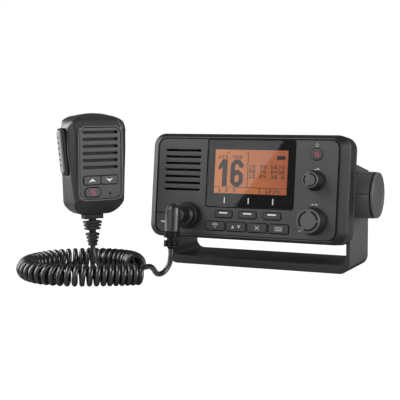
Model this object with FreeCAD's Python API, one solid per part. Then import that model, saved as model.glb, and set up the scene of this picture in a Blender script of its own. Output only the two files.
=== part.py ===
"""Fixed-mount VHF marine radio in a U-bracket, with a fist microphone on a curly cord.

Millimetres and degrees. The origin is the centre of the bracket base's underside, +X is to the
viewer's right, +Y is to the rear and +Z is up. The radio is drawn about its tilt pivot with its
face square to -Y, and the microphone about its own upright axis; each is placed at the end.
"""
import FreeCAD
import Part
import math
import os
from FreeCAD import Vector

# ---------------------------------------------------------------- driving dimensions: stance
TILT_AT_REST = 7.1             # the face leans back
PIVOT_HEIGHT = 62.8
PIVOT_FORWARD = 8.4            # pivot in front of the bracket's middle

# ---------------------------------------------------------------- fits
SLIDE_GAP = 0.25               # keys and buttons in their openings
HALF_GAP = 0.15                # fixed pieces set into one another
RUNNING_GAP = 0.05             # shaft in its bearing
HINGE_GAP = 0.3                # between pieces that turn past each other
STUD_HOLE_GAP = 0.3

# ---------------------------------------------------------------- bracket
ARM_GAP = 155.2                # between the arms
ARM_THICKNESS = 3.5
ARM_TOP_FRONT = 25.6           # above the pivot, where the arm's top edge begins
ARM_TOP_REAR = 17.6            # above the pivot, at the rear edge
ARM_TOP_SETBACK = 11.5         # from the arm's front edge to the top's front corner
ARM_FRONT_STRAIGHT = 1.5       # above the pivot, where the front edge starts to lean back
BASE_DEPTH = 53.8
ARM_REAR_LEAN = 0.7            # the arm's rear edge leans forward to its top
BASE_THICKNESS = 7.0
BASE_SKIN = 3.2
BASE_RIM = 2.6
BASE_RIB = 1.8
BASE_POCKETS = 6               # along each side of the mounting slots' row
OUTER_CORNER = 9.0
INNER_CORNER = 7.0
CORNER_POCKETS = 5
CORNER_POCKET_DEPTH = 2.2
SLOT_SPACING = 101.0
SLOT_LENGTH = 13.6
SLOT_WIDTH = 5.2
SLOT_FORWARD = 5.0             # slots in front of the bracket's middle
SLOT_PAD = 3.2                 # solid rim around a slot

# ---------------------------------------------------------------- tilt pivot and its knobs
STUD_RADIUS = 3.0
STUD_ENGAGEMENT = 11.0
INSERT_RADIUS = 5.0
INSERT_LENGTH = 12.5
BOSS_RADIUS = 10.0
WASHER_THICKNESS = 0.6
WASHER_RADIUS = 9.5
KNOB_STAND_OFF = 0.4
RIGHT_KNOB_LENGTH = 17.7
LEFT_KNOB_LENGTH = 14.6
KNOB_INNER_RADIUS = 19.1
KNOB_OUTER_RADIUS = 18.5
KNOB_BEVEL = 1.8
KNOB_DISH_RADIUS = 14.8
KNOB_DISH_DEPTH = 1.2
KNOB_GROOVE_WIDTH = 0.9        # the groove round the knob, behind its bevel
KNOB_GROOVE_DEPTH = 0.7
KNOB_GROOVE_SETBACK = 1.0
KNOB_STUD_DEPTH = 9.0
KNOB_NOTCHES = 3
KNOB_NOTCH_TURN = 7.0          # first notch, below the front
KNOB_NOTCH_WIDTH = 0.9
KNOB_NOTCH_DEPTH = 0.6

# ---------------------------------------------------------------- front casing
HOUSING_WIDTH = 171.0
HOUSING_TOP = 44.5             # above the pivot
HOUSING_BOTTOM = -41.3
HOUSING_CORNER = 10.5
FACE_FORWARD = 43.6            # pivot to the face
BEVEL_WIDTH_SIDE = 6.4
BEVEL_WIDTH_TOP = 3.3
BEVEL_WIDTH_BOTTOM = 2.3
BEVEL_DEPTH = 5.6
BEVEL_ROUND = 1.8
BEZEL_DEPTH = 20.0
BEZEL_WALL = 2.6
PANEL_INSET_SIDE = 7.9         # housing's outside to the panel's edge
PANEL_INSET_TOP = 4.5
PANEL_INSET_BOTTOM = 3.6
PANEL_CORNER = 6.5
PANEL_SKIN = 3.0
PANEL_FLANGE = 2.0
PANEL_LEDGE = 1.2
CASE_SCREW_INSET = 7.0
CASE_SCREW_RADIUS = 1.5
CASE_SCREW_LENGTH = 11.0
CASE_SCREW_HEAD_RADIUS = 2.7
CASE_SCREW_HEAD = 2.0
CASE_BOSS_RADIUS = 3.6

# ---------------------------------------------------------------- display
WINDOW_FROM_SPEAKER = 6.3      # speaker slots' end to the window
WINDOW_FROM_CONTROLS = 17.4    # window to the rotary controls' line
WINDOW_INSET_TOP = 0.7
WINDOW_FROM_KEYS = 3.4         # window to the upper keys' top edge
WINDOW_CORNER = 1.6
WINDOW_THICKNESS = 1.5
LCD_INSET_SIDE = 6.05          # window's edge to the lit area
LCD_INSET_BOTTOM, LCD_INSET_TOP = 11.1, 7.8
LCD_BORDER = 2.0
LCD_THICKNESS = 2.0
BOARD_THICKNESS = 1.6
BOARD_FROM_SPEAKER = 16.8      # speaker's axis to the board's left edge
BOARD_INSET_RIGHT = 5.6
BOARD_MARGIN = 3.2             # board edge inside the panel's top and bottom edges
BOARD_GAP = 5.6                # panel back to board front
POST_RADIUS = 1.8
POST_INSET = 2.6

# ---------------------------------------------------------------- speaker
SPEAKER_INSET_SIDE = 22.3      # panel's edge to the speaker's axis
SPEAKER_INSET_TOP = 25.9
SPEAKER_SLOTS = 7
SPEAKER_SLOT_LENGTH = 32.4
SPEAKER_SLOT_HEIGHT = 1.9
SPEAKER_SLOT_PITCH = 5.37
SPEAKER_RADIUS = 19.4
SPEAKER_RIM = 2.8
SPEAKER_RIM_THICKNESS = 1.4
SPEAKER_DEPTH = 8.0
SPEAKER_SKIN = 0.8
MAGNET_RADIUS = 10.0
MAGNET_THICKNESS = 5.0
CLOTH_THICKNESS = 0.4
CONE_THROAT_RADIUS = 5.0

# ---------------------------------------------------------------- keys
KEY_PROUD = 0.9
KEY_TRAVEL = 0.7
KEY_FLANGE = 0.5
KEY_FLANGE_THICKNESS = 0.8
KEY_CUSHION = 0.9              # key back to the mat
SOFT_KEY_COUNT = 3             # spread over the lit area's width
SOFT_KEY_START = 10.0          # lit area's edge to the first key's middle
SOFT_KEY_GAP = 6.2
SOFT_KEY_HEIGHT = 5.2
FUNCTION_KEY_INSET_LEFT = 1.1  # window's side to the row's end
FUNCTION_KEY_INSET_RIGHT = 2.7
FUNCTION_KEY_GAP = 1.8
FUNCTION_KEY_COUNT = 4
FUNCTION_KEY_HEIGHT = 6.8
FUNCTION_KEY_RISE = 6.9        # panel's edge to the lower keys' middle
KEY_ROW_PITCH = 9.8
KEY_CORNER = 1.4
CHANNEL_KEY_OFFSET = 0.4       # right of the rotary controls' line
CHANNEL_KEY_INSET_TOP = 11.2
CHANNEL_KEY_RADIUS = 4.5
MAT_MARGIN = 1.2

# ---------------------------------------------------------------- rotary controls
CONTROL_INSET_SIDE = 18.2
VOLUME_INSET_TOP = 31.7
SELECT_RISE = 14.4             # panel's edge to the lower control's axis
SHAFT_RADIUS = 3.0
SHAFT_TRAVEL = 0.8
SHAFT_END_GAP = 0.6
BUSHING_RADIUS = 4.2
BUSHING_PROUD = 0.6
ENCODER_SIDE = 12.0
ENCODER_FLOOR = 1.2
CONTROL_GAP = 1.3              # knob back to panel
CONTROL_LENGTH = 12.2
CONTROL_BORE_DEPTH = 8.5
VOLUME_BASE_RADIUS, VOLUME_TIP_RADIUS = 8.0, 6.3
VOLUME_GROOVE_RADIUS = 4.7
SELECT_BASE_RADIUS, SELECT_TIP_RADIUS = 11.0, 9.4
SELECT_GROOVE_RADIUS = 7.2
CONTROL_SKIRT = 2.0
CONTROL_TIP_BEVEL = 0.7
CONTROL_GROOVE_WIDTH = 0.9
CONTROL_GROOVE_DEPTH = 0.9

# ---------------------------------------------------------------- microphone socket and plug
SOCKET_INSET_SIDE = 30.0
SOCKET_RISE = 14.5
SOCKET_RADIUS = 8.2
SOCKET_WALL = 1.4
SOCKET_PROUD = 5.0
SOCKET_FLANGE_RADIUS = 10.0
SOCKET_FLANGE = 1.6
SOCKET_DEPTH = 9.0             # behind the panel
LOCK_RING_RADIUS = 11.0
LOCK_RING_LENGTH = 8.0
LOCK_RING_GAP = 1.0
LOCK_RING_RIBS = 18
LOCK_RING_RIB_DEPTH = 0.5
PLUG_SHOULDER_RADIUS = 8.6
PLUG_BARREL_RADIUS = 7.0        # at the elbow
PLUG_SHOULDER_LENGTH = 2.2
PLUG_ELBOW_FORWARD = 30.0      # panel to the elbow's axis
PLUG_ELBOW_RADIUS = 6.1
PLUG_ELBOW_TOP = 7.6           # above the socket's axis
PLUG_ELBOW_BOTTOM = -14.4
PLUG_COLLARS = ((0.0, 4.2, 6.5), (6.2, 5.2, 6.1))   # start below the elbow, height, radius
PLUG_COLLAR_TAPER = 0.7
PLUG_COLLAR_SLOTS = 6
PLUG_SLOT_WIDTH = 1.6
PLUG_SLOT_DEPTH = 1.3
PLUG_NECK_RADIUS = 4.0
PLUG_BOOT_LENGTH = 13.0

# ---------------------------------------------------------------- distress cover and key
COVER_WIDTH = 17.4
COVER_HEIGHT = 16.1
COVER_THICKNESS = 1.8
COVER_GAP = 0.25
COVER_PIN_RADIUS = 0.6
COVER_PIN_LENGTH = 0.9
DISTRESS_KEY_WIDTH, DISTRESS_KEY_HEIGHT = 8.4, 7.6
DISTRESS_KEY_INSET_SIDE = 9.6
DISTRESS_KEY_RISE = 7.7
DISTRESS_KEY_CORNER = 2.0

# ---------------------------------------------------------------- chassis
CHASSIS_FLANGE = 4.0
CHASSIS_FLANGE_ROUND = 1.6
CHASSIS_HALF_WIDTH = 58.0
CHASSIS_INSET_TOP, CHASSIS_INSET_BOTTOM = 10.5, 6.8
CHASSIS_REAR = 38.0            # behind the pivot
CHASSIS_WALL = 2.6
CHASSIS_CORNER = 5.0
TAIL_HALF_WIDTH = 45.0
TAIL_REAR = 52.0
FIN_COUNT = 9
FIN_THICKNESS = 2.0
FIN_PITCH = 5.2
FIN_DEPTH = 8.0
GASKET_WIDTH = 1.2
GASKET_DEPTH = 1.0
GASKET_INSET = 0.7
MAIN_BOARD_HALF_WIDTH = 50.0
MAIN_BOARD_Z = -16.0
MAIN_BOARD_FRONT, MAIN_BOARD_REAR = -19.0, 34.0
MAIN_BOARD_POST_RADIUS = 3.0
SHIELD_HALF_WIDTH = 28.0
SHIELD_FRONT, SHIELD_REAR = -6.0, 30.0
SHIELD_HEIGHT = 9.0
SHIELD_SKIN = 0.6
ANTENNA_X, ANTENNA_Z = -34.0, 12.0
ANTENNA_RADIUS = 7.9
ANTENNA_LENGTH = 15.0
ANTENNA_BORE_RADIUS = 2.1
ANTENNA_BORE_DEPTH = 11.0
ANTENNA_FLANGE = 19.0
ANTENNA_FLANGE_THICKNESS = 2.0
ACCESSORY_X = 34.0
ACCESSORY_Z = (14.0, -8.0)
ACCESSORY_RADIUS = 7.0
ACCESSORY_LENGTH = 7.0
ACCESSORY_WALL = 1.3
ACCESSORY_PINS = 4
ACCESSORY_PIN_RADIUS = 0.7
ACCESSORY_PIN_CIRCLE = 3.0

# ---------------------------------------------------------------- microphone
MIC_X, MIC_Y = -111.3, -100.9
MIC_YAW = 58.4
MIC_BOTTOM = 48.5
MIC_HEIGHT = 80.8
MIC_FRONT, MIC_BACK = 14.0, 13.0
MIC_HALF_WIDTH = 27.0
MIC_FACE_HALF_WIDTH = 20.6
MIC_WAIST = 22.3               # half width at the bottom
MIC_SHOULDER = 7.5             # front shoulder's depth
MIC_PARTING = 1.0              # parting plane behind the axis
MIC_WALL = 2.3
MIC_CROWN = 1.9
MIC_TOP_CORNER_WIDTH, MIC_TOP_CORNER_HEIGHT = 14.0, 17.0
MIC_LOW_CORNER_WIDTH, MIC_LOW_CORNER_HEIGHT = 13.2, 12.0
MIC_BACK_TAPER = 42.0          # height over which the back draws in to the bottom
MIC_BACK_LOW = 0.66            # share of the back's depth left at the heel
MIC_HEEL = 7.0
MIC_PANEL_INSET_SIDE = 2.3     # inside the flat front's edge
MIC_PANEL_RISE = 13.1
MIC_PANEL_INSET_TOP = 11.3
MIC_PANEL_CORNER = 5.5
MIC_PANEL_THICKNESS = 2.0
MIC_PANEL_LEDGE = 1.2
MIC_RIM_WIDTH = 2.0
MIC_RIM_PROUD = 0.4
MIC_SLOTS = 6
MIC_SLOT_LENGTH = 31.0
MIC_SLOT_HEIGHT = 2.3
MIC_SLOT_INSET_TOP = 3.7
MIC_SLOT_FROM_KEYS = 6.9       # arrow keys to the lowest slot
MIC_KEY_PROUD = 0.6
MIC_KEY_TRAVEL = 0.6
MIC_KEY_FLANGE = 0.45
MIC_ARROW_RISE = 14.9          # panel's bottom edge to the arrow keys' middle
MIC_ARROW_HEIGHT = 6.4
MIC_ARROW_HALF_SPAN = 14.9
MIC_ARROW_SPLIT = 0.5
MIC_CHANNEL_X, MIC_CHANNEL_RISE = -7.2, 5.5
MIC_CHANNEL_WIDTH, MIC_CHANNEL_HEIGHT = 13.4, 7.0
MIC_HOLE_X, MIC_HOLE_RISE = 8.4, 3.8
MIC_HOLE_RADIUS = 0.9
MIC_SPEAKER_MARGIN = 3.8       # from the panel's pocket and from the arrow keys
MIC_SPEAKER_DEPTH = 6.0
MIC_MAGNET_RADIUS = 7.0
MIC_MAGNET_DEPTH = 3.0
MIC_CAPSULE_RADIUS = 2.4
MIC_CAPSULE_DEPTH = 3.0
MIC_BOARD_GAP = 3.4            # panel back to board front
MIC_BOARD_HALF_WIDTH = 16.0
MIC_BOARD_RISE = 1.9
MIC_BOARD_FROM_SPEAKER = 1.6
MIC_SCREW_RADIUS = 1.3
MIC_SCREW_HEAD_RADIUS = 2.3
MIC_SCREW_HEAD = 1.6
MIC_SCREW_LENGTH = 14.0
MIC_SCREW_SINK = 0.4
MIC_SCREW_X = 15.0
MIC_SCREW_RISE, MIC_SCREW_INSET_TOP = 11.5, 12.3
MIC_BOSS_RADIUS = 2.6
HANG_RADIUS, HANG_STEM_RADIUS = 6.5, 4.0
HANG_STEM, HANG_HEAD = 3.0, 2.5
HANG_INSET_TOP = 29.3
PTT_LENGTH = 35.0
PTT_INSET_TOP = 12.8
PTT_FRONT, PTT_REAR = -2.6, 4.4
PTT_PROUD = 2.2
PTT_TRAVEL = 1.2
PTT_DEPTH = 3.4                # body inside the shell
PTT_STOP = 0.1                 # left under the bar when it is fully pressed
PTT_ROUND = 2.8                # the bar's corners, seen from the side
PTT_EDGE = 1.5                 # the bar's outer edges
PTT_SEAL = 1.1
PTT_SEAL_FRONT = 4.8           # the seal's width in front of the bar
PTT_SEAL_PROUD = 0.8
MIC_BOOT_LENGTH = 26.0
MIC_BOOT_THICKNESS = 7.0
MIC_BOOT_OFFSET = -0.6         # left of the microphone's axis
MIC_BOOT_SPINE_TOP, MIC_BOOT_SPINE_END = 4.2, 2.9   # radii
# start below the shell, height, width at the top and at the bottom
MIC_BOOT_BLOCKS = ((0.0, 3.9, 16.8, 16.0), (5.6, 7.4, 14.2, 11.6), (15.3, 10.7, 9.8, 5.9))

# ---------------------------------------------------------------- curly cord
CORD_DIAMETER = 4.2
COIL_DIAMETER = 17.0
COIL_LIFT = 0.1                # coil's underside above the table
RING_X, RING_Y = -103.0, -114.4
RING_TURN = 30.8               # the route's first axis, turned from +X
# the coil's centre line from the microphone's end, in the ring's own two axes
COIL_ROUTE = ((33.2, -2.0), (33.6, -14.5), (25.5, -30.0), (4.5, -42.3), (-19.8, -42.0),
              (-40.2, -30.2), (-52.3, -9.5), (-52.3, 14.0), (-40.2, 33.0), (-20.0, 43.6),
              (2.0, 45.9), (20.5, 46.1), (31.5, 44.9), (38.6, 42.6))
# from each strain relief to the coil, in the ring's own two axes and height; the first run, and
# with it the first two points, is straight out of the strain relief
MIC_TAIL_RUN = 10.5
MIC_TAIL_ROUTE = ((11.0, -8.0, 2.25), (22.0, -3.0, 2.25), (32.8, -4.6, 2.25))
PLUG_TAIL_RUN = 6.2
PLUG_TAIL_ROUTE = ((59.6, 6.2, 8.6), (54.6, 9.4, 2.9), (48.9, 16.6, 3.2), (45.9, 26.0, 9.4),
                   (42.4, 33.6, 13.2), (37.8, 40.6, 13.0))

# ---------------------------------------------------------------- derived places
FACE_Y = -FACE_FORWARD
LEDGE_Y = FACE_Y + PANEL_SKIN
PANEL_BACK_Y = LEDGE_Y + PANEL_FLANGE
BEZEL_BACK_Y = FACE_Y + BEZEL_DEPTH
FLANGE_BACK_Y = BEZEL_BACK_Y + CHASSIS_FLANGE
BOARD_Y = PANEL_BACK_Y + BOARD_GAP
HOUSING_HALF = HOUSING_WIDTH / 2
HOUSING = (-HOUSING_HALF, HOUSING_HALF, HOUSING_BOTTOM, HOUSING_TOP)
PANEL_HALF_WIDTH = HOUSING_HALF - PANEL_INSET_SIDE
PANEL_TOP = HOUSING_TOP - PANEL_INSET_TOP
PANEL_BOTTOM = HOUSING_BOTTOM + PANEL_INSET_BOTTOM
PANEL = (-PANEL_HALF_WIDTH, PANEL_HALF_WIDTH, PANEL_BOTTOM, PANEL_TOP)
SPEAKER_X = -PANEL_HALF_WIDTH + SPEAKER_INSET_SIDE
SPEAKER_Z = PANEL_TOP - SPEAKER_INSET_TOP
CONTROL_X = PANEL_HALF_WIDTH - CONTROL_INSET_SIDE
VOLUME_Z = PANEL_TOP - VOLUME_INSET_TOP
SELECT_Z = PANEL_BOTTOM + SELECT_RISE
CHANNEL_KEY_X = CONTROL_X + CHANNEL_KEY_OFFSET
CHANNEL_KEY_Z = PANEL_TOP - CHANNEL_KEY_INSET_TOP
SOCKET_X = -PANEL_HALF_WIDTH + SOCKET_INSET_SIDE
SOCKET_Z = PANEL_BOTTOM + SOCKET_RISE
COVER_RIGHT = -PANEL_HALF_WIDTH + COVER_WIDTH
COVER_TOP = PANEL_BOTTOM + COVER_HEIGHT
DISTRESS_KEY_X = -PANEL_HALF_WIDTH + DISTRESS_KEY_INSET_SIDE
DISTRESS_KEY_Z = PANEL_BOTTOM + DISTRESS_KEY_RISE
FUNCTION_KEY_Z = PANEL_BOTTOM + FUNCTION_KEY_RISE
SOFT_KEY_Z = FUNCTION_KEY_Z + KEY_ROW_PITCH
WINDOW_LEFT = SPEAKER_X + SPEAKER_SLOT_LENGTH / 2 + WINDOW_FROM_SPEAKER
WINDOW_RIGHT = CONTROL_X - WINDOW_FROM_CONTROLS
WINDOW_TOP = PANEL_TOP - WINDOW_INSET_TOP
WINDOW_BOTTOM = SOFT_KEY_Z + SOFT_KEY_HEIGHT / 2 + WINDOW_FROM_KEYS
WINDOW = (WINDOW_LEFT, WINDOW_RIGHT, WINDOW_BOTTOM, WINDOW_TOP)
LCD_LEFT, LCD_RIGHT = WINDOW_LEFT + LCD_INSET_SIDE, WINDOW_RIGHT - LCD_INSET_SIDE
LCD_BOTTOM, LCD_TOP = WINDOW_BOTTOM + LCD_INSET_BOTTOM, WINDOW_TOP - LCD_INSET_TOP
LCD = (LCD_LEFT - LCD_BORDER, LCD_RIGHT + LCD_BORDER, LCD_BOTTOM - LCD_BORDER, LCD_TOP + LCD_BORDER)
BOARD_LEFT = SPEAKER_X + BOARD_FROM_SPEAKER
BOARD_RIGHT = PANEL_HALF_WIDTH - BOARD_INSET_RIGHT
SOFT_KEY_PITCH = (LCD_RIGHT - LCD_LEFT) / SOFT_KEY_COUNT
SOFT_KEY_WIDTH = SOFT_KEY_PITCH - SOFT_KEY_GAP
SOFT_KEY_X = [LCD_LEFT + SOFT_KEY_START + i * SOFT_KEY_PITCH for i in range(SOFT_KEY_COUNT)]
FUNCTION_KEY_LEFT = WINDOW_LEFT + FUNCTION_KEY_INSET_LEFT
FUNCTION_KEY_PITCH = ((WINDOW_RIGHT - FUNCTION_KEY_INSET_RIGHT - FUNCTION_KEY_LEFT + FUNCTION_KEY_GAP)
                      / FUNCTION_KEY_COUNT)
FUNCTION_KEY_WIDTH = FUNCTION_KEY_PITCH - FUNCTION_KEY_GAP
CHASSIS_TOP = HOUSING_TOP - CHASSIS_INSET_TOP
CHASSIS_BOTTOM = HOUSING_BOTTOM + CHASSIS_INSET_BOTTOM
BRACKET_FRONT, BRACKET_REAR = -BASE_DEPTH / 2, BASE_DEPTH / 2
ARM_INNER = ARM_GAP / 2
ARM_OUTER = ARM_INNER + ARM_THICKNESS
BOSS_END = ARM_INNER - WASHER_THICKNESS
PIVOT_Y = -PIVOT_FORWARD
FUNCTION_KEY_X = [FUNCTION_KEY_LEFT + FUNCTION_KEY_WIDTH / 2 + i * FUNCTION_KEY_PITCH
                  for i in range(FUNCTION_KEY_COUNT)]
KEY_BACK_Y = PANEL_BACK_Y + KEY_FLANGE_THICKNESS
MAT_Y = KEY_BACK_Y + KEY_CUSHION
MIC_TOP = MIC_BOTTOM + MIC_HEIGHT
MIC_PANEL_HALF_WIDTH = MIC_FACE_HALF_WIDTH - MIC_PANEL_INSET_SIDE
MIC_PANEL_BOTTOM = MIC_BOTTOM + MIC_PANEL_RISE
MIC_PANEL_TOP = MIC_TOP - MIC_PANEL_INSET_TOP
MIC_ARROW_Z = MIC_PANEL_BOTTOM + MIC_ARROW_RISE
MIC_ARROW_TOP = MIC_ARROW_Z + MIC_ARROW_HEIGHT / 2
MIC_CHANNEL_Z = MIC_PANEL_BOTTOM + MIC_CHANNEL_RISE
MIC_HOLE_Z = MIC_PANEL_BOTTOM + MIC_HOLE_RISE
MIC_SLOT_TOP = MIC_PANEL_TOP - MIC_SLOT_INSET_TOP
MIC_SLOT_PITCH = (MIC_SLOT_TOP - MIC_ARROW_TOP - MIC_SLOT_FROM_KEYS) / (MIC_SLOTS - 1)
MIC_SPEAKER_ROOM = (MIC_ARROW_TOP + MIC_KEY_FLANGE, MIC_PANEL_TOP - MIC_PANEL_LEDGE)
MIC_SPEAKER_Z = sum(MIC_SPEAKER_ROOM) / 2
MIC_SPEAKER_RADIUS = (MIC_SPEAKER_ROOM[1] - MIC_SPEAKER_ROOM[0]) / 2 - MIC_SPEAKER_MARGIN
MIC_BOARD_BOTTOM = MIC_PANEL_BOTTOM + MIC_BOARD_RISE
MIC_BOARD_TOP = MIC_SPEAKER_Z - MIC_SPEAKER_RADIUS - MIC_BOARD_FROM_SPEAKER
MIC_SCREW_Z = (MIC_BOTTOM + MIC_SCREW_RISE, MIC_TOP - MIC_SCREW_INSET_TOP)
HANG_Z = MIC_TOP - HANG_INSET_TOP
PTT_TOP = MIC_TOP - PTT_INSET_TOP
PTT_BOTTOM = PTT_TOP - PTT_LENGTH
PAST = 1.0                     # how far a cutter runs past a face


# ---------------------------------------------------------------- solids
def box(x0, x1, y0, y1, z0, z1):
    return Part.makeBox(x1 - x0, y1 - y0, z1 - z0, Vector(x0, y0, z0))


def rod_x(x0, x1, y, z, radius):
    return Part.makeCylinder(radius, x1 - x0, Vector(x0, y, z), Vector(1, 0, 0))


def rod_y(x, z, y0, y1, radius):
    return Part.makeCylinder(radius, y1 - y0, Vector(x, y0, z), Vector(0, 1, 0))


def rod_z(x, y, z0, z1, radius):
    return Part.makeCylinder(radius, z1 - z0, Vector(x, y, z0), Vector(0, 0, 1))


def joined(shapes):
    whole = shapes[0]
    for shape in shapes[1:]:
        whole = whole.fuse(shape)
    return whole.removeSplitter()


def group(shapes):
    return Part.makeCompound(shapes)


def grown(outline, margin):
    """An outline (left, right, bottom, top), larger by the margin on every side."""
    left, right, bottom, top = outline
    return (left - margin, right + margin, bottom - margin, top + margin)


def rounded_wire(outline, radius, y):
    """A rectangle with round corners, in the plane at y."""
    left, right, bottom, top = outline
    corners = ((right, top, 0), (left, top, 90), (left, bottom, 180), (right, bottom, 270))
    edges = []
    ends = []
    for x, z, start in corners:
        turn = math.radians(start)
        cx = x - radius * (1 if start in (0, 270) else -1)
        cz = z - radius * (1 if start in (0, 90) else -1)
        points = [Vector(cx + radius * math.cos(turn + k * math.pi / 4), y,
                         cz + radius * math.sin(turn + k * math.pi / 4)) for k in range(3)]
        ends.append((points[0], points[2]))
        edges.append(Part.Arc(*points).toShape())
    lines = [Part.makeLine(ends[i][1], ends[(i + 1) % 4][0]) for i in range(4)]
    ordered = [edge for pair in zip(edges, lines) for edge in pair]
    return Part.Wire(ordered)


def slab(outline, radius, y0, y1):
    """A plate with round corners, from y0 to y1."""
    return Part.Face(rounded_wire(outline, radius, y0)).extrude(Vector(0, y1 - y0, 0))


def centred(x, z, width, height):
    return (x - width / 2, x + width / 2, z - height / 2, z + height / 2)


def polygon(points):
    return Part.Face(Part.makePolygon(list(points) + [points[0]]))


def turned(profile, x, z):
    """Revolve (y, radius) points about the line parallel to Y through x, z."""
    face = polygon([Vector(x + radius, y, z) for y, radius in profile])
    return face.revolve(Vector(x, 0, z), Vector(0, 1, 0), 360)


def turned_x(profile, y, z):
    """Revolve (x, radius) points about the line parallel to X through y, z."""
    face = polygon([Vector(x, y, z + radius) for x, radius in profile])
    return face.revolve(Vector(0, y, z), Vector(1, 0, 0), 360)


def turned_z(profile, x, y):
    """Revolve (z, radius) points about the line parallel to Z through x, y."""
    face = polygon([Vector(x + radius, y, z) for z, radius in profile])
    return face.revolve(Vector(x, y, 0), Vector(0, 0, 1), 360)


def rounded_edges(shape, radius, chosen):
    """Fillet the edges for which chosen(edge) is true."""
    edges = [edge for edge in shape.Edges if chosen(edge)]
    return shape.makeFillet(radius, edges) if edges else shape


def at_y(edge, y):
    bounds = edge.BoundBox
    return abs(bounds.YMin - y) < 1e-6 and abs(bounds.YMax - y) < 1e-6


def mirrored(shape):
    return shape.mirror(Vector(0, 0, 0), Vector(1, 0, 0))


def both_sides(make):
    """The same piece on the right and, mirrored, on the left, as one group."""
    right = make()
    return group([right, mirrored(right)])


# ---------------------------------------------------------------- front casing
def case_screw_places():
    x = HOUSING_HALF - CASE_SCREW_INSET
    return [(side * x, z) for side in (-1, 1)
            for z in (HOUSING_TOP - CASE_SCREW_INSET, HOUSING_BOTTOM + CASE_SCREW_INSET)]


def bezel_lip():
    """The front edge's outline, inside the bevel."""
    return (-HOUSING_HALF + BEVEL_WIDTH_SIDE, HOUSING_HALF - BEVEL_WIDTH_SIDE,
            HOUSING_BOTTOM + BEVEL_WIDTH_BOTTOM, HOUSING_TOP - BEVEL_WIDTH_TOP)


def front_bezel():
    bevel_y = FACE_Y + BEVEL_DEPTH
    lip = rounded_wire(bezel_lip(), PANEL_CORNER + PANEL_LEDGE, FACE_Y)
    rim = rounded_wire(HOUSING, HOUSING_CORNER, bevel_y)
    bevel = Part.makeLoft([lip, rim], True, True)
    shell = joined([bevel, slab(HOUSING, HOUSING_CORNER, bevel_y, BEZEL_BACK_Y)])
    shell = rounded_edges(shell, BEVEL_ROUND, lambda edge: at_y(edge, bevel_y))
    shell = shell.cut(slab(grown(PANEL, HALF_GAP), PANEL_CORNER + HALF_GAP, FACE_Y - PAST, LEDGE_Y))
    shell = shell.cut(slab(grown(PANEL, PANEL_LEDGE), PANEL_CORNER + PANEL_LEDGE,
                           LEDGE_Y, PANEL_BACK_Y))
    shell = shell.cut(slab(grown(HOUSING, -BEZEL_WALL), HOUSING_CORNER - BEZEL_WALL,
                           PANEL_BACK_Y, BEZEL_BACK_Y + PAST))
    bosses = [rod_y(x, z, PANEL_BACK_Y, BEZEL_BACK_Y, CASE_BOSS_RADIUS) for x, z in case_screw_places()]
    envelope = slab(grown(HOUSING, -BEZEL_WALL / 2), HOUSING_CORNER, PANEL_BACK_Y, BEZEL_BACK_Y)
    shell = joined([shell] + [boss.common(envelope) for boss in bosses])
    pilot_y = FLANGE_BACK_Y - CASE_SCREW_HEAD - CASE_SCREW_LENGTH
    for x, z in case_screw_places():
        shell = shell.cut(rod_y(x, z, pilot_y, BEZEL_BACK_Y + PAST, CASE_SCREW_RADIUS))
    return shell


def speaker_slot_cutters(x, z_top, count, pitch, length, height, y0, y1):
    return [slab(centred(x, z_top - i * pitch, length, height), height * 0.49, y0, y1)
            for i in range(count)]


def key_openings():
    """One cutter through the panel for each key."""
    y0, y1 = FACE_Y - PAST, PANEL_BACK_Y + PAST
    corner = KEY_CORNER + SLIDE_GAP
    cutters = [slab(grown(centred(x, SOFT_KEY_Z, SOFT_KEY_WIDTH, SOFT_KEY_HEIGHT), SLIDE_GAP),
                    corner, y0, y1) for x in SOFT_KEY_X]
    cutters += [slab(grown(centred(x, FUNCTION_KEY_Z, FUNCTION_KEY_WIDTH, FUNCTION_KEY_HEIGHT),
                           SLIDE_GAP), corner, y0, y1) for x in FUNCTION_KEY_X]
    cutters.append(rod_y(CHANNEL_KEY_X, CHANNEL_KEY_Z, y0, y1, CHANNEL_KEY_RADIUS + SLIDE_GAP))
    cutters.append(slab(grown(centred(DISTRESS_KEY_X, DISTRESS_KEY_Z, DISTRESS_KEY_WIDTH,
                                      DISTRESS_KEY_HEIGHT), SLIDE_GAP), DISTRESS_KEY_CORNER, y0, y1))
    return cutters


def cover_hinge():
    """The distress cover's hinge line: y, z."""
    return (FACE_Y + COVER_GAP / 2 + COVER_THICKNESS / 2, COVER_TOP - COVER_THICKNESS / 2)


def cover_pocket():
    """The corner of the panel that the distress cover fills."""
    left, _, bottom, _ = grown(PANEL, PAST)
    return box(left, COVER_RIGHT + COVER_GAP, FACE_Y - PAST, LEDGE_Y, bottom, COVER_TOP + COVER_GAP)


def cover_pin():
    """The cover's right-hand pin, which turns in the panel."""
    y, z = cover_hinge()
    return rod_x(COVER_RIGHT, COVER_RIGHT + COVER_PIN_LENGTH, y, z, COVER_PIN_RADIUS)


def board_outline():
    return (BOARD_LEFT, BOARD_RIGHT, PANEL_BOTTOM + BOARD_MARGIN, PANEL_TOP - BOARD_MARGIN)


def board_posts(y0, y1, radius):
    left, right, bottom, top = grown(board_outline(), -POST_INSET)
    return [rod_y(x, z, y0, y1, radius) for x in (left, right) for z in (bottom, top)]


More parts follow.
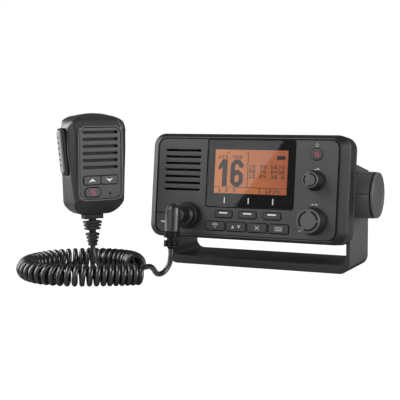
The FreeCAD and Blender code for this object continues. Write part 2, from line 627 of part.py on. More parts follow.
def face_panel():
    plate = joined([slab(PANEL, PANEL_CORNER, FACE_Y, LEDGE_Y),
                    slab(grown(PANEL, PANEL_LEDGE - HALF_GAP), PANEL_CORNER + PANEL_LEDGE - HALF_GAP,
                         LEDGE_Y, PANEL_BACK_Y)])
    plate = plate.cut(slab(grown(WINDOW, HALF_GAP), WINDOW_CORNER, FACE_Y - PAST,
                           FACE_Y + WINDOW_THICKNESS))
    left, right, bottom, top = grown(LCD, HALF_GAP)
    plate = plate.cut(box(left, right, FACE_Y, PANEL_BACK_Y + PAST, bottom, top))
    slot_top = SPEAKER_Z + (SPEAKER_SLOTS - 1) / 2 * SPEAKER_SLOT_PITCH
    cutters = speaker_slot_cutters(SPEAKER_X, slot_top, SPEAKER_SLOTS, SPEAKER_SLOT_PITCH,
                                   SPEAKER_SLOT_LENGTH, SPEAKER_SLOT_HEIGHT,
                                   FACE_Y - PAST, PANEL_BACK_Y + PAST)
    cutters += key_openings()
    for z in (VOLUME_Z, SELECT_Z):
        cutters.append(rod_y(CONTROL_X, z, FACE_Y - PAST, PANEL_BACK_Y + PAST, BUSHING_RADIUS + HALF_GAP))
    cutters.append(rod_y(SOCKET_X, SOCKET_Z, FACE_Y - PAST, PANEL_BACK_Y + PAST, SOCKET_RADIUS))
    cutters.append(cover_pocket())
    y, z = cover_hinge()
    cutters.append(rod_x(COVER_RIGHT, COVER_RIGHT + COVER_PIN_LENGTH + HALF_GAP, y, z,
                         COVER_PIN_RADIUS + RUNNING_GAP))
    plate = plate.cut(group(cutters))
    return joined([plate] + board_posts(PANEL_BACK_Y, BOARD_Y, POST_RADIUS))


def front_gasket():
    outer = slab(grown(HOUSING, -GASKET_INSET), HOUSING_CORNER - GASKET_INSET,
                 BEZEL_BACK_Y, BEZEL_BACK_Y + GASKET_DEPTH)
    inset = GASKET_INSET + GASKET_WIDTH
    return outer.cut(slab(grown(HOUSING, -inset), HOUSING_CORNER - inset,
                          BEZEL_BACK_Y - PAST, BEZEL_BACK_Y + GASKET_DEPTH + PAST))


# ---------------------------------------------------------------- display
def display_window():
    return slab(WINDOW, WINDOW_CORNER, FACE_Y, FACE_Y + WINDOW_THICKNESS)


def lcd_panel():
    left, right, bottom, top = LCD
    y = FACE_Y + WINDOW_THICKNESS
    return box(left, right, y, y + LCD_THICKNESS, bottom, top)


def lcd_backlight():
    left, right, bottom, top = LCD
    return box(left, right, FACE_Y + WINDOW_THICKNESS + LCD_THICKNESS, BOARD_Y, bottom, top)


def display_board():
    """The display and key board, and the small board behind the distress key."""
    left, right, bottom, top = board_outline()
    board = box(left, right, BOARD_Y, BOARD_Y + BOARD_THICKNESS, bottom, top)
    x0, x1, z0, z1 = grown(centred(DISTRESS_KEY_X, DISTRESS_KEY_Z, DISTRESS_KEY_WIDTH,
                                   DISTRESS_KEY_HEIGHT), MAT_MARGIN)
    switch_board = box(x0, x1, MAT_Y, MAT_Y + BOARD_THICKNESS, z0, z1)
    return group([board, switch_board])


def keypad_mat():
    """The rubber mat under the two rows of keys, and the pad under the round key."""
    left = FUNCTION_KEY_X[0] - FUNCTION_KEY_WIDTH / 2 - MAT_MARGIN
    right = FUNCTION_KEY_X[-1] + FUNCTION_KEY_WIDTH / 2 + MAT_MARGIN
    bottom = FUNCTION_KEY_Z - FUNCTION_KEY_HEIGHT / 2 - KEY_FLANGE
    top = SOFT_KEY_Z + SOFT_KEY_HEIGHT / 2 + MAT_MARGIN
    pad = rod_y(CHANNEL_KEY_X, CHANNEL_KEY_Z, MAT_Y, BOARD_Y, CHANNEL_KEY_RADIUS + MAT_MARGIN)
    return group([box(left, right, MAT_Y, BOARD_Y, bottom, top), pad])


# ---------------------------------------------------------------- speaker
def speaker_cloth():
    y = PANEL_BACK_Y
    return rod_y(SPEAKER_X, SPEAKER_Z, y, y + CLOTH_THICKNESS, SPEAKER_RADIUS)


def speaker_basket():
    """The steel basket with its magnet bonded behind."""
    y0 = PANEL_BACK_Y + CLOTH_THICKNESS
    y1 = y0 + SPEAKER_RIM_THICKNESS
    y2 = y0 + SPEAKER_DEPTH
    inner = SPEAKER_RADIUS - SPEAKER_RIM
    basket = turned([(y0, SPEAKER_RADIUS), (y1, SPEAKER_RADIUS), (y2, MAGNET_RADIUS),
                     (y2, 0), (y2 - SPEAKER_SKIN, 0), (y2 - SPEAKER_SKIN, MAGNET_RADIUS - SPEAKER_SKIN),
                     (y1, inner), (y0, inner)], SPEAKER_X, SPEAKER_Z)
    magnet = rod_y(SPEAKER_X, SPEAKER_Z, y2, y2 + MAGNET_THICKNESS, MAGNET_RADIUS)
    return group([basket, magnet])


def speaker_cone():
    """The paper cone and its dust cap, hung in the basket's rim."""
    y0 = PANEL_BACK_Y + CLOTH_THICKNESS
    inner = SPEAKER_RADIUS - SPEAKER_RIM
    depth = SPEAKER_DEPTH - SPEAKER_SKIN - SPEAKER_RIM_THICKNESS
    thick = SPEAKER_SKIN
    return turned([(y0, inner), (y0 + thick, inner), (y0 + depth, CONE_THROAT_RADIUS),
                   (y0 + depth, 0), (y0 + depth - thick, 0),
                   (y0 + depth - thick, CONE_THROAT_RADIUS - thick), (y0, inner - thick)],
                  SPEAKER_X, SPEAKER_Z)


# ---------------------------------------------------------------- keys
def key(x, z, width, height, corner):
    """A key cap through the panel, with the flange that keeps it from falling out."""
    outline = centred(x, z, width, height)
    cap = slab(outline, corner, FACE_Y - KEY_PROUD, PANEL_BACK_Y)
    cap = rounded_edges(cap, KEY_PROUD / 2, lambda edge: at_y(edge, FACE_Y - KEY_PROUD))
    flange = slab(grown(outline, KEY_FLANGE), corner + KEY_FLANGE, PANEL_BACK_Y, KEY_BACK_Y)
    return joined([cap, flange])


def channel_key():
    r, proud = CHANNEL_KEY_RADIUS, KEY_PROUD
    flange = r + KEY_FLANGE
    return turned([(FACE_Y - proud, 0), (FACE_Y - proud, r - proud / 2), (FACE_Y - proud / 2, r),
                   (PANEL_BACK_Y, r), (PANEL_BACK_Y, flange), (KEY_BACK_Y, flange), (KEY_BACK_Y, 0)],
                  CHANNEL_KEY_X, CHANNEL_KEY_Z)


def distress_key():
    outline = centred(DISTRESS_KEY_X, DISTRESS_KEY_Z, DISTRESS_KEY_WIDTH, DISTRESS_KEY_HEIGHT)
    top_y = LEDGE_Y - KEY_TRAVEL
    cap = slab(outline, DISTRESS_KEY_CORNER, top_y, PANEL_BACK_Y)
    flange = slab(grown(outline, KEY_FLANGE), DISTRESS_KEY_CORNER, PANEL_BACK_Y, KEY_BACK_Y)
    return joined([cap, flange])


def distress_cover():
    """The flip-up cover, whose top edge is round about its hinge line."""
    y, z = cover_hinge()
    r = COVER_THICKNESS / 2
    front, back = y - r, y + r
    plate = slab(grown(PANEL, -COVER_GAP), PANEL_CORNER - COVER_GAP, front, back)
    left = PANEL[0]
    plate = plate.common(box(left, COVER_RIGHT, front, back, PANEL_BOTTOM, z))
    roll = rod_x(-PANEL_HALF_WIDTH + COVER_GAP, COVER_RIGHT, y, z, r)
    return joined([plate, roll, cover_pin()])


# ---------------------------------------------------------------- rotary controls
def rotary_encoder(z):
    """A square body on the board, with the bushing that reaches through the panel."""
    half = ENCODER_SIDE / 2
    body = box(CONTROL_X - half, CONTROL_X + half, PANEL_BACK_Y, BOARD_Y, z - half, z + half)
    bushing = rod_y(CONTROL_X, z, FACE_Y - BUSHING_PROUD, PANEL_BACK_Y, BUSHING_RADIUS)
    bore = rod_y(CONTROL_X, z, FACE_Y - BUSHING_PROUD - PAST, BOARD_Y - ENCODER_FLOOR,
                 SHAFT_RADIUS + RUNNING_GAP)
    return joined([body, bushing]).cut(bore)


def control_shaft(z):
    back = BOARD_Y - ENCODER_FLOOR - SHAFT_TRAVEL - SHAFT_END_GAP
    front = FACE_Y - CONTROL_GAP - CONTROL_BORE_DEPTH
    return rod_y(CONTROL_X, z, front, back, SHAFT_RADIUS)


def control_knob(z, base_radius, tip_radius, groove_radius):
    back = FACE_Y - CONTROL_GAP
    tip = back - CONTROL_LENGTH
    bevel = CONTROL_TIP_BEVEL
    inner = groove_radius - CONTROL_GROOVE_WIDTH
    knob = turned([(back, 0), (back, base_radius), (back - CONTROL_SKIRT, base_radius),
                   (tip + bevel, tip_radius), (tip, tip_radius - bevel), (tip, groove_radius),
                   (tip + CONTROL_GROOVE_DEPTH, groove_radius), (tip + CONTROL_GROOVE_DEPTH, inner),
                   (tip, inner), (tip, 0)], CONTROL_X, z)
    return knob.cut(rod_y(CONTROL_X, z, back - CONTROL_BORE_DEPTH, back + PAST,
                          SHAFT_RADIUS + RUNNING_GAP))


# ---------------------------------------------------------------- microphone socket and plug
def lock_ring_span():
    back = FACE_Y - LOCK_RING_GAP
    return back - LOCK_RING_LENGTH, back


def mic_socket():
    """The threaded socket, with the flange that seats behind the panel."""
    front = FACE_Y - SOCKET_PROUD
    back = PANEL_BACK_Y + SOCKET_DEPTH
    bore = SOCKET_RADIUS - SOCKET_WALL
    shell = turned([(front, bore), (front, SOCKET_RADIUS), (PANEL_BACK_Y, SOCKET_RADIUS),
                    (PANEL_BACK_Y, SOCKET_FLANGE_RADIUS),
                    (PANEL_BACK_Y + SOCKET_FLANGE, SOCKET_FLANGE_RADIUS),
                    (PANEL_BACK_Y + SOCKET_FLANGE, bore), (back, bore), (back, 0),
                    (PANEL_BACK_Y, 0), (PANEL_BACK_Y, bore)], SOCKET_X, SOCKET_Z)
    return shell


def plug_body():
    """The insert, the shoulder that holds the lock ring, the barrel and the elbow."""
    ring_front, _ = lock_ring_span()
    elbow_y = FACE_Y - PLUG_ELBOW_FORWARD
    insert_radius = SOCKET_RADIUS - SOCKET_WALL - HALF_GAP
    insert = rod_y(SOCKET_X, SOCKET_Z, ring_front, PANEL_BACK_Y, insert_radius)
    shoulder = ring_front - HINGE_GAP
    barrel = turned([(shoulder, 0), (shoulder, PLUG_SHOULDER_RADIUS),
                     (shoulder - PLUG_SHOULDER_LENGTH, PLUG_SHOULDER_RADIUS),
                     (shoulder - 2 * PLUG_SHOULDER_LENGTH, PLUG_BARREL_RADIUS + HALF_GAP),
                     (elbow_y, PLUG_BARREL_RADIUS), (elbow_y - PLUG_ELBOW_RADIUS / 2, PLUG_ELBOW_RADIUS / 2),
                     (elbow_y - PLUG_ELBOW_RADIUS / 2, 0)], SOCKET_X, SOCKET_Z)
    neck = rod_y(SOCKET_X, SOCKET_Z, shoulder, ring_front, insert_radius)
    dome_z = SOCKET_Z + PLUG_ELBOW_TOP - PLUG_ELBOW_RADIUS
    elbow = rod_z(SOCKET_X, elbow_y, SOCKET_Z + PLUG_ELBOW_BOTTOM, dome_z, PLUG_ELBOW_RADIUS)
    dome = Part.makeSphere(PLUG_ELBOW_RADIUS, Vector(SOCKET_X, elbow_y, dome_z))
    return joined([insert, neck, barrel, elbow, dome])


def plug_lock_ring():
    """The knurled ring that screws over the socket and turns on the plug."""
    front, back = lock_ring_span()
    ring = rod_y(SOCKET_X, SOCKET_Z, front, back, LOCK_RING_RADIUS)
    ring = rounded_edges(ring, LOCK_RING_RIB_DEPTH, lambda edge: at_y(edge, front) or at_y(edge, back))
    socket_bore = rod_y(SOCKET_X, SOCKET_Z, FACE_Y - SOCKET_PROUD - HINGE_GAP, back + PAST,
                        SOCKET_RADIUS + RUNNING_GAP)
    plug_bore = rod_y(SOCKET_X, SOCKET_Z, front - PAST, back,
                      SOCKET_RADIUS - SOCKET_WALL - HALF_GAP + RUNNING_GAP)
    ring = ring.cut(group([socket_bore, plug_bore]))
    grooves = []
    for i in range(LOCK_RING_RIBS):
        turn = 2 * math.pi * i / LOCK_RING_RIBS
        x = SOCKET_X + (LOCK_RING_RADIUS + LOCK_RING_RIB_DEPTH) * math.cos(turn)
        z = SOCKET_Z + (LOCK_RING_RADIUS + LOCK_RING_RIB_DEPTH) * math.sin(turn)
        grooves.append(rod_y(x, z, front - PAST, back + PAST, 2 * LOCK_RING_RIB_DEPTH))
    return ring.cut(group(grooves))


def plug_boot():
    """The strain relief under the elbow: two slotted collars on a neck."""
    top = SOCKET_Z + PLUG_ELBOW_BOTTOM
    y = FACE_Y - PLUG_ELBOW_FORWARD
    collars = []
    slots = []
    for start, height, radius in PLUG_COLLARS:
        z0 = top - start - height
        collars.append(turned_z([(z0 + height, 0), (z0 + height, radius),
                                 (z0, radius - PLUG_COLLAR_TAPER), (z0, 0)], SOCKET_X, y))
        for i in range(PLUG_COLLAR_SLOTS):
            slot = box(radius - PLUG_SLOT_DEPTH, radius + PAST, -PLUG_SLOT_WIDTH / 2,
                       PLUG_SLOT_WIDTH / 2, z0 + height * 0.25, z0 + height * 0.75)
            slot.rotate(Vector(0, 0, 0), Vector(0, 0, 1), (i + 0.5) * 360 / PLUG_COLLAR_SLOTS)
            slot.translate(Vector(SOCKET_X, y, 0))
            slots.append(slot)
    neck = rod_z(SOCKET_X, y, top - PLUG_BOOT_LENGTH, top, PLUG_NECK_RADIUS)
    return joined([neck] + collars).cut(group(slots))


# ---------------------------------------------------------------- chassis
def pivot_boss(x_start):
    return rod_x(x_start, BOSS_END, 0, 0, BOSS_RADIUS)


def rear_chassis():
    flange = slab(HOUSING, HOUSING_CORNER, BEZEL_BACK_Y, FLANGE_BACK_Y)
    flange = rounded_edges(flange, CHASSIS_FLANGE_ROUND, lambda edge: at_y(edge, FLANGE_BACK_Y))
    body_outline = (-CHASSIS_HALF_WIDTH, CHASSIS_HALF_WIDTH, CHASSIS_BOTTOM, CHASSIS_TOP)
    tail_outline = (-TAIL_HALF_WIDTH, TAIL_HALF_WIDTH, CHASSIS_BOTTOM, CHASSIS_TOP)
    body = slab(body_outline, CHASSIS_CORNER, BEZEL_BACK_Y, CHASSIS_REAR)
    tail = slab(tail_outline, CHASSIS_CORNER, CHASSIS_REAR - CHASSIS_WALL, TAIL_REAR)
    fins = []
    for i in range(FIN_COUNT):
        x = (i - (FIN_COUNT - 1) / 2) * FIN_PITCH
        fins.append(box(x - FIN_THICKNESS / 2, x + FIN_THICKNESS / 2, TAIL_REAR - CHASSIS_WALL,
                        TAIL_REAR + FIN_DEPTH, CHASSIS_BOTTOM + CHASSIS_CORNER,
                        CHASSIS_TOP - CHASSIS_CORNER))
    right_boss = pivot_boss(CHASSIS_HALF_WIDTH - CHASSIS_WALL)
    shell = joined([flange, body, tail, right_boss, mirrored(right_boss)] + fins)
    wall = CHASSIS_WALL
    hollow = joined([slab(grown(body_outline, -wall), CHASSIS_CORNER - wall, BEZEL_BACK_Y - PAST,
                          CHASSIS_REAR - wall),
                     slab(grown(tail_outline, -wall), CHASSIS_CORNER - wall, CHASSIS_REAR - 2 * wall,
                          TAIL_REAR - wall)])
    shell = shell.cut(hollow)
    floor = CHASSIS_BOTTOM + wall
    inset = MAIN_BOARD_POST_RADIUS
    posts = [rod_z(x, y, floor - wall / 2, MAIN_BOARD_Z, MAIN_BOARD_POST_RADIUS)
             for x in (-MAIN_BOARD_HALF_WIDTH + inset, MAIN_BOARD_HALF_WIDTH - inset)
             for y in (MAIN_BOARD_FRONT + inset, MAIN_BOARD_REAR - inset)]
    shell = joined([shell] + posts)
    cutters = [front_gasket()]
    for x, z in case_screw_places():
        cutters.append(rod_y(x, z, BEZEL_BACK_Y - PAST, FLANGE_BACK_Y + PAST, CASE_SCREW_RADIUS))
        cutters.append(rod_y(x, z, FLANGE_BACK_Y - CASE_SCREW_HEAD, FLANGE_BACK_Y + PAST,
                             CASE_SCREW_HEAD_RADIUS))
    insert = pivot_insert_blank(0)
    cutters += [insert, mirrored(insert)]
    cutters.append(rod_y(ANTENNA_X, ANTENNA_Z, TAIL_REAR - wall - PAST, TAIL_REAR + PAST, ANTENNA_RADIUS))
    for z in ACCESSORY_Z:
        cutters.append(rod_y(ACCESSORY_X, z, TAIL_REAR - wall - PAST, TAIL_REAR + PAST,
                             ACCESSORY_RADIUS))
    return shell.cut(group(cutters))


def chassis_screws():
    screws = []
    for x, z in case_screw_places():
        head_y = FLANGE_BACK_Y - CASE_SCREW_HEAD
        shank = rod_y(x, z, head_y - CASE_SCREW_LENGTH, head_y, CASE_SCREW_RADIUS)
        head = rod_y(x, z, head_y, FLANGE_BACK_Y, CASE_SCREW_HEAD_RADIUS)
        screws.append(joined([shank, head]))
    return group(screws)


def pivot_insert_blank(margin):
    return rod_x(BOSS_END - INSERT_LENGTH, BOSS_END + margin, 0, 0, INSERT_RADIUS)


def pivot_insert():
    """The threaded brass insert in the right-hand boss."""
    return pivot_insert_blank(0).cut(rod_x(BOSS_END - INSERT_LENGTH - PAST, BOSS_END + PAST, 0, 0,
                                           STUD_RADIUS + RUNNING_GAP))


def friction_washer():
    blank = rod_x(BOSS_END, ARM_INNER, 0, 0, WASHER_RADIUS)
    return blank.cut(rod_x(BOSS_END - PAST, ARM_INNER + PAST, 0, 0, STUD_RADIUS + STUD_HOLE_GAP))


def main_board():
    half = MAIN_BOARD_HALF_WIDTH
    return box(-half, half, MAIN_BOARD_FRONT, MAIN_BOARD_REAR, MAIN_BOARD_Z,
               MAIN_BOARD_Z + BOARD_THICKNESS)


def rf_shield():
    half, skin = SHIELD_HALF_WIDTH, SHIELD_SKIN
    z0 = MAIN_BOARD_Z + BOARD_THICKNESS
    can = box(-half, half, SHIELD_FRONT, SHIELD_REAR, z0, z0 + SHIELD_HEIGHT)
    return can.cut(box(-half + skin, half - skin, SHIELD_FRONT + skin, SHIELD_REAR - skin,
                       z0 - PAST, z0 + SHIELD_HEIGHT - skin))


def antenna_socket():
    """The coaxial antenna socket on the rear wall."""
    half = ANTENNA_FLANGE / 2
    barrel = rod_y(ANTENNA_X, ANTENNA_Z, TAIL_REAR - CHASSIS_WALL, TAIL_REAR + ANTENNA_LENGTH,
                   ANTENNA_RADIUS)
    plate = box(ANTENNA_X - half, ANTENNA_X + half, TAIL_REAR, TAIL_REAR + ANTENNA_FLANGE_THICKNESS,
                ANTENNA_Z - half, ANTENNA_Z + half)
    bore = rod_y(ANTENNA_X, ANTENNA_Z, TAIL_REAR + ANTENNA_LENGTH - ANTENNA_BORE_DEPTH,
                 TAIL_REAR + ANTENNA_LENGTH + PAST, ANTENNA_BORE_RADIUS)
    return joined([barrel, plate]).cut(bore)


def accessory_socket(z):
    """A round power or data inlet with its pins."""
    front, rear = TAIL_REAR - CHASSIS_WALL, TAIL_REAR + ACCESSORY_LENGTH
    cup = rod_y(ACCESSORY_X, z, front, rear, ACCESSORY_RADIUS)
    cup = cup.cut(rod_y(ACCESSORY_X, z, TAIL_REAR, rear + PAST, ACCESSORY_RADIUS - ACCESSORY_WALL))
    pins = []
    for i in range(ACCESSORY_PINS):
        turn = 2 * math.pi * (i + 0.5) / ACCESSORY_PINS
        pins.append(rod_y(ACCESSORY_X + ACCESSORY_PIN_CIRCLE * math.cos(turn),
                          z + ACCESSORY_PIN_CIRCLE * math.sin(turn),
                          front, rear - ACCESSORY_WALL, ACCESSORY_PIN_RADIUS))
    return joined([cup] + pins)


# ---------------------------------------------------------------- bracket and its knobs
def arm_profile():
    """The bracket seen from the side, as a face in the Y-Z plane."""
    top_front = PIVOT_HEIGHT + ARM_TOP_FRONT
    top_rear = PIVOT_HEIGHT + ARM_TOP_REAR
    lean_z = PIVOT_HEIGHT + ARM_FRONT_STRAIGHT
    points = [Vector(0, y, z) for y, z in
              ((BRACKET_FRONT, 0), (BRACKET_REAR, 0), (BRACKET_REAR - ARM_REAR_LEAN, top_rear),
               (BRACKET_FRONT + ARM_TOP_SETBACK, top_front), (BRACKET_FRONT, lean_z))]
    return polygon(points)


def bracket_blank():
    """A U across the radio's width, trimmed to the arms' side profile."""
    reach = PIVOT_HEIGHT + ARM_TOP_FRONT + PAST
    outer = (-ARM_OUTER, ARM_OUTER, 0, reach + OUTER_CORNER)
    inner = (-ARM_INNER, ARM_INNER, BASE_THICKNESS, reach + OUTER_CORNER + PAST)
    frame = slab(outer, OUTER_CORNER, BRACKET_FRONT, BRACKET_REAR)
    frame = frame.cut(slab(inner, INNER_CORNER, BRACKET_FRONT - PAST, BRACKET_REAR + PAST))
    side = arm_profile().extrude(Vector(2 * ARM_OUTER + 2 * PAST, 0, 0))
    side.translate(Vector(-ARM_OUTER - PAST, 0, 0))
    return frame.common(side)


def slot_blank(x, length, width, z0, z1):
    y = -SLOT_FORWARD
    half = (length - width) / 2
    middle = box(x - half, x + half, y - width / 2, y + width / 2, z0, z1)
    return joined([middle, rod_z(x - half, y, z0, z1, width / 2), rod_z(x + half, y, z0, z1, width / 2)])


def base_pockets():
    """The hollows under the base, between its rim and ribs."""
    span = 2 * (ARM_OUTER - OUTER_CORNER)
    pitch = span / BASE_POCKETS
    front, rear = BRACKET_FRONT + BASE_RIM, BRACKET_REAR - BASE_RIM
    top = BASE_THICKNESS - BASE_SKIN
    pockets = []
    for i in range(BASE_POCKETS):
        x0 = -span / 2 + i * pitch + BASE_RIB / 2
        x1 = x0 + pitch - BASE_RIB
        pockets.append(box(x0, x1, front, -SLOT_FORWARD - SLOT_PAD - SLOT_WIDTH / 2, -PAST, top))
        pockets.append(box(x0, x1, -SLOT_FORWARD + SLOT_PAD + SLOT_WIDTH / 2, rear, -PAST, top))
    return pockets


def corner_pockets():
    """Slots pressed into the outside of the right-hand bottom corner, leaving ribs between."""
    front, rear = BRACKET_FRONT + BASE_RIM, BRACKET_REAR - BASE_RIM
    pitch = (rear - front + BASE_RIB) / CORNER_POCKETS
    reach = OUTER_CORNER * math.sqrt(0.5)
    pockets = []
    for i in range(CORNER_POCKETS):
        y0 = front + i * pitch
        block = box(-reach / 2, reach / 2, y0, y0 + pitch - BASE_RIB, -CORNER_POCKET_DEPTH, PAST)
        block.rotate(Vector(0, 0, 0), Vector(0, 1, 0), 135)
        middle = OUTER_CORNER * (1 - math.sqrt(0.5))
        block.translate(Vector(ARM_OUTER - middle, 0, middle))
        pockets.append(block)
    return pockets


def bracket():
    frame = bracket_blank()
    corners = corner_pockets()
    cutters = base_pockets() + corners + [mirrored(pocket) for pocket in corners]
    for side in (-1, 1):
        cutters.append(slot_blank(side * SLOT_SPACING / 2, SLOT_LENGTH, SLOT_WIDTH, -PAST,
                                  BASE_THICKNESS + PAST))
    hole = rod_x(ARM_INNER - PAST, ARM_OUTER + PAST, PIVOT_Y, PIVOT_HEIGHT, STUD_RADIUS + STUD_HOLE_GAP)
    cutters += [hole, mirrored(hole)]
    return frame.cut(group(cutters))


def bracket_knob(length):
    """The right-hand knob: a tapered drum with a dished end, notched for grip."""
    inner = ARM_OUTER + KNOB_STAND_OFF
    outer = inner + length
    rim = outer - KNOB_BEVEL
    groove = rim - KNOB_GROOVE_SETBACK
    floor = KNOB_OUTER_RADIUS - KNOB_GROOVE_DEPTH
    knob = turned_x([(inner, 0), (inner, KNOB_INNER_RADIUS),
                     (groove - KNOB_GROOVE_WIDTH, KNOB_OUTER_RADIUS),
                     (groove - KNOB_GROOVE_WIDTH, floor), (groove, floor), (groove, KNOB_OUTER_RADIUS),
                     (rim, KNOB_OUTER_RADIUS), (outer, KNOB_OUTER_RADIUS - KNOB_BEVEL),
                     (outer, KNOB_DISH_RADIUS),
                     (outer - KNOB_DISH_DEPTH, KNOB_DISH_RADIUS - KNOB_DISH_DEPTH),
                     (outer - KNOB_DISH_DEPTH, 0)], 0, 0)
    cutters = [rod_x(inner - PAST, inner + KNOB_STUD_DEPTH, 0, 0, STUD_RADIUS)]
    for i in range(KNOB_NOTCHES):
        notch = box(inner - PAST, groove - 2 * KNOB_GROOVE_WIDTH, -KNOB_INNER_RADIUS - PAST,
                    -KNOB_INNER_RADIUS + KNOB_NOTCH_DEPTH, -KNOB_NOTCH_WIDTH / 2, KNOB_NOTCH_WIDTH / 2)
        notch.rotate(Vector(0, 0, 0), Vector(1, 0, 0), KNOB_NOTCH_TURN + i * 360 / KNOB_NOTCHES)
        cutters.append(notch)
    return knob.cut(group(cutters))


def knob_stud():
    inner = ARM_OUTER + KNOB_STAND_OFF
    return rod_x(BOSS_END - STUD_ENGAGEMENT, inner + KNOB_STUD_DEPTH, 0, 0, STUD_RADIUS)


# ---------------------------------------------------------------- microphone
def mic_plan(inset):
    """The microphone seen from above: a flat front, bevelled shoulders and a rounder back."""
    half, face = MIC_HALF_WIDTH - inset, MIC_FACE_HALF_WIDTH - inset * 0.6
    front, back = -MIC_FRONT + inset, MIC_BACK - inset
    shoulder = -MIC_FRONT + MIC_SHOULDER
    side = [(half - 1.2, shoulder - 2.6), (half, shoulder + 1.0), (half, back * 0.1),
            (half * 0.78, back * 0.78), (half * 0.58, back)]
    points = [(face, front)] + side + [(-x, y) for x, y in reversed(side)] + [(-face, front)]
    return polygon([Vector(x, y, 0) for x, y in points])


def corner_arc(start, end):
    """A quarter of an oval between a steep side's end and a level edge's end, as x, z pairs."""
    middle = [end[i] + (start[i] - end[i]) * (math.sqrt(0.5) if i == 0 else 1 - math.sqrt(0.5))
              for i in (0, 1)]
    points = [Vector(x, 0, z) for x, z in (start, middle, end)]
    return Part.Arc(*points).toShape()


def mic_elevation(inset):
    """The microphone seen from the front: crowned top, sides drawn in towards the bottom."""
    half, waist = MIC_HALF_WIDTH - inset, MIC_WAIST - inset
    bottom, top = MIC_BOTTOM + inset, MIC_TOP - inset
    shoulder_z = top - MIC_CROWN
    side_top = (half, shoulder_z - MIC_TOP_CORNER_HEIGHT)
    crown_end = (half - MIC_TOP_CORNER_WIDTH, shoulder_z)
    side_end = (waist, bottom + MIC_LOW_CORNER_HEIGHT)
    floor_end = (waist - MIC_LOW_CORNER_WIDTH, bottom)
    right = [corner_arc(side_top, crown_end), corner_arc(side_end, floor_end),
             Part.makeLine(Vector(side_top[0], 0, side_top[1]), Vector(side_end[0], 0, side_end[1]))]
    left = [mirrored(edge) for edge in right]
    crown = Part.Arc(Vector(-crown_end[0], 0, shoulder_z), Vector(0, 0, top),
                     Vector(crown_end[0], 0, shoulder_z)).toShape()
    floor = Part.makeLine(Vector(-floor_end[0], 0, bottom), Vector(floor_end[0], 0, bottom))
    ordered = Part.__sortEdges__(right + left + [crown, floor])
    return Part.Face(Part.Wire(ordered))


def mic_side(inset):
    """The microphone seen from the side: the front leans back at the top and the bottom."""
    front, back = -MIC_FRONT + inset, MIC_BACK - inset
    bottom, top = MIC_BOTTOM + inset, MIC_TOP - inset
    points = [(front, MIC_PANEL_BOTTOM - 1.6), (front * 0.45, bottom), (back * 0.35, bottom),
              (back * MIC_BACK_LOW, bottom + MIC_HEEL), (back, bottom + MIC_BACK_TAPER),
              (back, top - 12),
              (back * 0.6, top - 2.5), (0, top),
              (front * 0.42, top - 0.6), (front * 0.78, top - 4.6), (front, top - 11.5)]
    return polygon([Vector(0, y, z) for y, z in points])


def mic_hull(inset):
    width, depth, height = 4 * MIC_HALF_WIDTH, 4 * MIC_FRONT, MIC_TOP + PAST
    plan = mic_plan(inset).extrude(Vector(0, 0, height))
    elevation = mic_elevation(inset).extrude(Vector(0, depth, 0))
    elevation.translate(Vector(0, -depth / 2, 0))
    side = mic_side(inset).extrude(Vector(width, 0, 0))
    side.translate(Vector(-width / 2, 0, 0))
    return plan.common(elevation).common(side)


def mic_panel_outline():
    return (-MIC_PANEL_HALF_WIDTH, MIC_PANEL_HALF_WIDTH, MIC_PANEL_BOTTOM, MIC_PANEL_TOP)


def mic_panel_back():
    return -MIC_FRONT + MIC_PANEL_THICKNESS


def mic_side_line():
    """The side's straight part, as x, z at its top and at its bottom."""
    top_z = MIC_TOP - MIC_CROWN - MIC_TOP_CORNER_HEIGHT
    return (-MIC_HALF_WIDTH, top_z), (-MIC_WAIST, MIC_BOTTOM + MIC_LOW_CORNER_HEIGHT)


def on_mic_side(outline, radius, outward, inward):
    """A plate with round corners lying in the microphone's left side, which leans outwards."""
    (x_top, z_top), (x_low, z_low) = mic_side_line()
    plate = slab(outline, radius, -outward, inward)
    plate.rotate(Vector(0, 0, 0), Vector(0, 0, 1), -90)
    plate = plate.mirror(Vector(0, 0, 0), Vector(0, 1, 0))
    middle = (PTT_BOTTOM + PTT_TOP) / 2
    lean = math.degrees(math.atan((x_low - x_top) / (z_top - z_low)))
    plate.rotate(Vector(0, 0, middle), Vector(0, 1, 0), -lean)
    x = x_low + (x_top - x_low) * (middle - z_low) / (z_top - z_low)
    plate.translate(Vector(x, 0, 0))
    return plate


def ptt_outline():
    return (PTT_FRONT, PTT_REAR, PTT_BOTTOM, PTT_TOP)


def ptt_seal_outline():
    return (PTT_FRONT - PTT_SEAL_FRONT, PTT_REAR + PTT_SEAL, PTT_BOTTOM - PTT_SEAL, PTT_TOP + PTT_SEAL)


def ptt_opening():
    return on_mic_side(ptt_seal_outline(), PTT_ROUND + PTT_SEAL, MIC_HALF_WIDTH, PTT_DEPTH)


def mic_back_at(z):
    """The back face's depth at a height below its taper's top, or above it."""
    below = max(0.0, MIC_BOTTOM + MIC_BACK_TAPER - z)
    return MIC_BACK * (1 - (1 - MIC_BACK_LOW) * below / (MIC_BACK_TAPER - MIC_HEEL))


def mic_screw_places():
    """Each screw's x and z, and the y of its head's end."""
    return [(side * MIC_SCREW_X, z, mic_back_at(z) - MIC_SCREW_SINK)
            for side in (-1, 1) for z in MIC_SCREW_Z]


def mic_shell():
    """Both halves of the microphone's case, before they are parted."""
    shell = mic_hull(0).cut(mic_hull(MIC_WALL))
    walls = mic_hull(MIC_WALL / 2)
    bosses = [rod_y(x, z, -MIC_FRONT, MIC_BACK, MIC_BOSS_RADIUS).common(walls)
              for x, z, _ in mic_screw_places()]
    collar = on_mic_side(grown(ptt_seal_outline(), MIC_WALL), PTT_ROUND, 0, PTT_DEPTH).common(walls)
    shell = joined([shell, collar] + bosses)
    return shell.cut(ptt_opening())


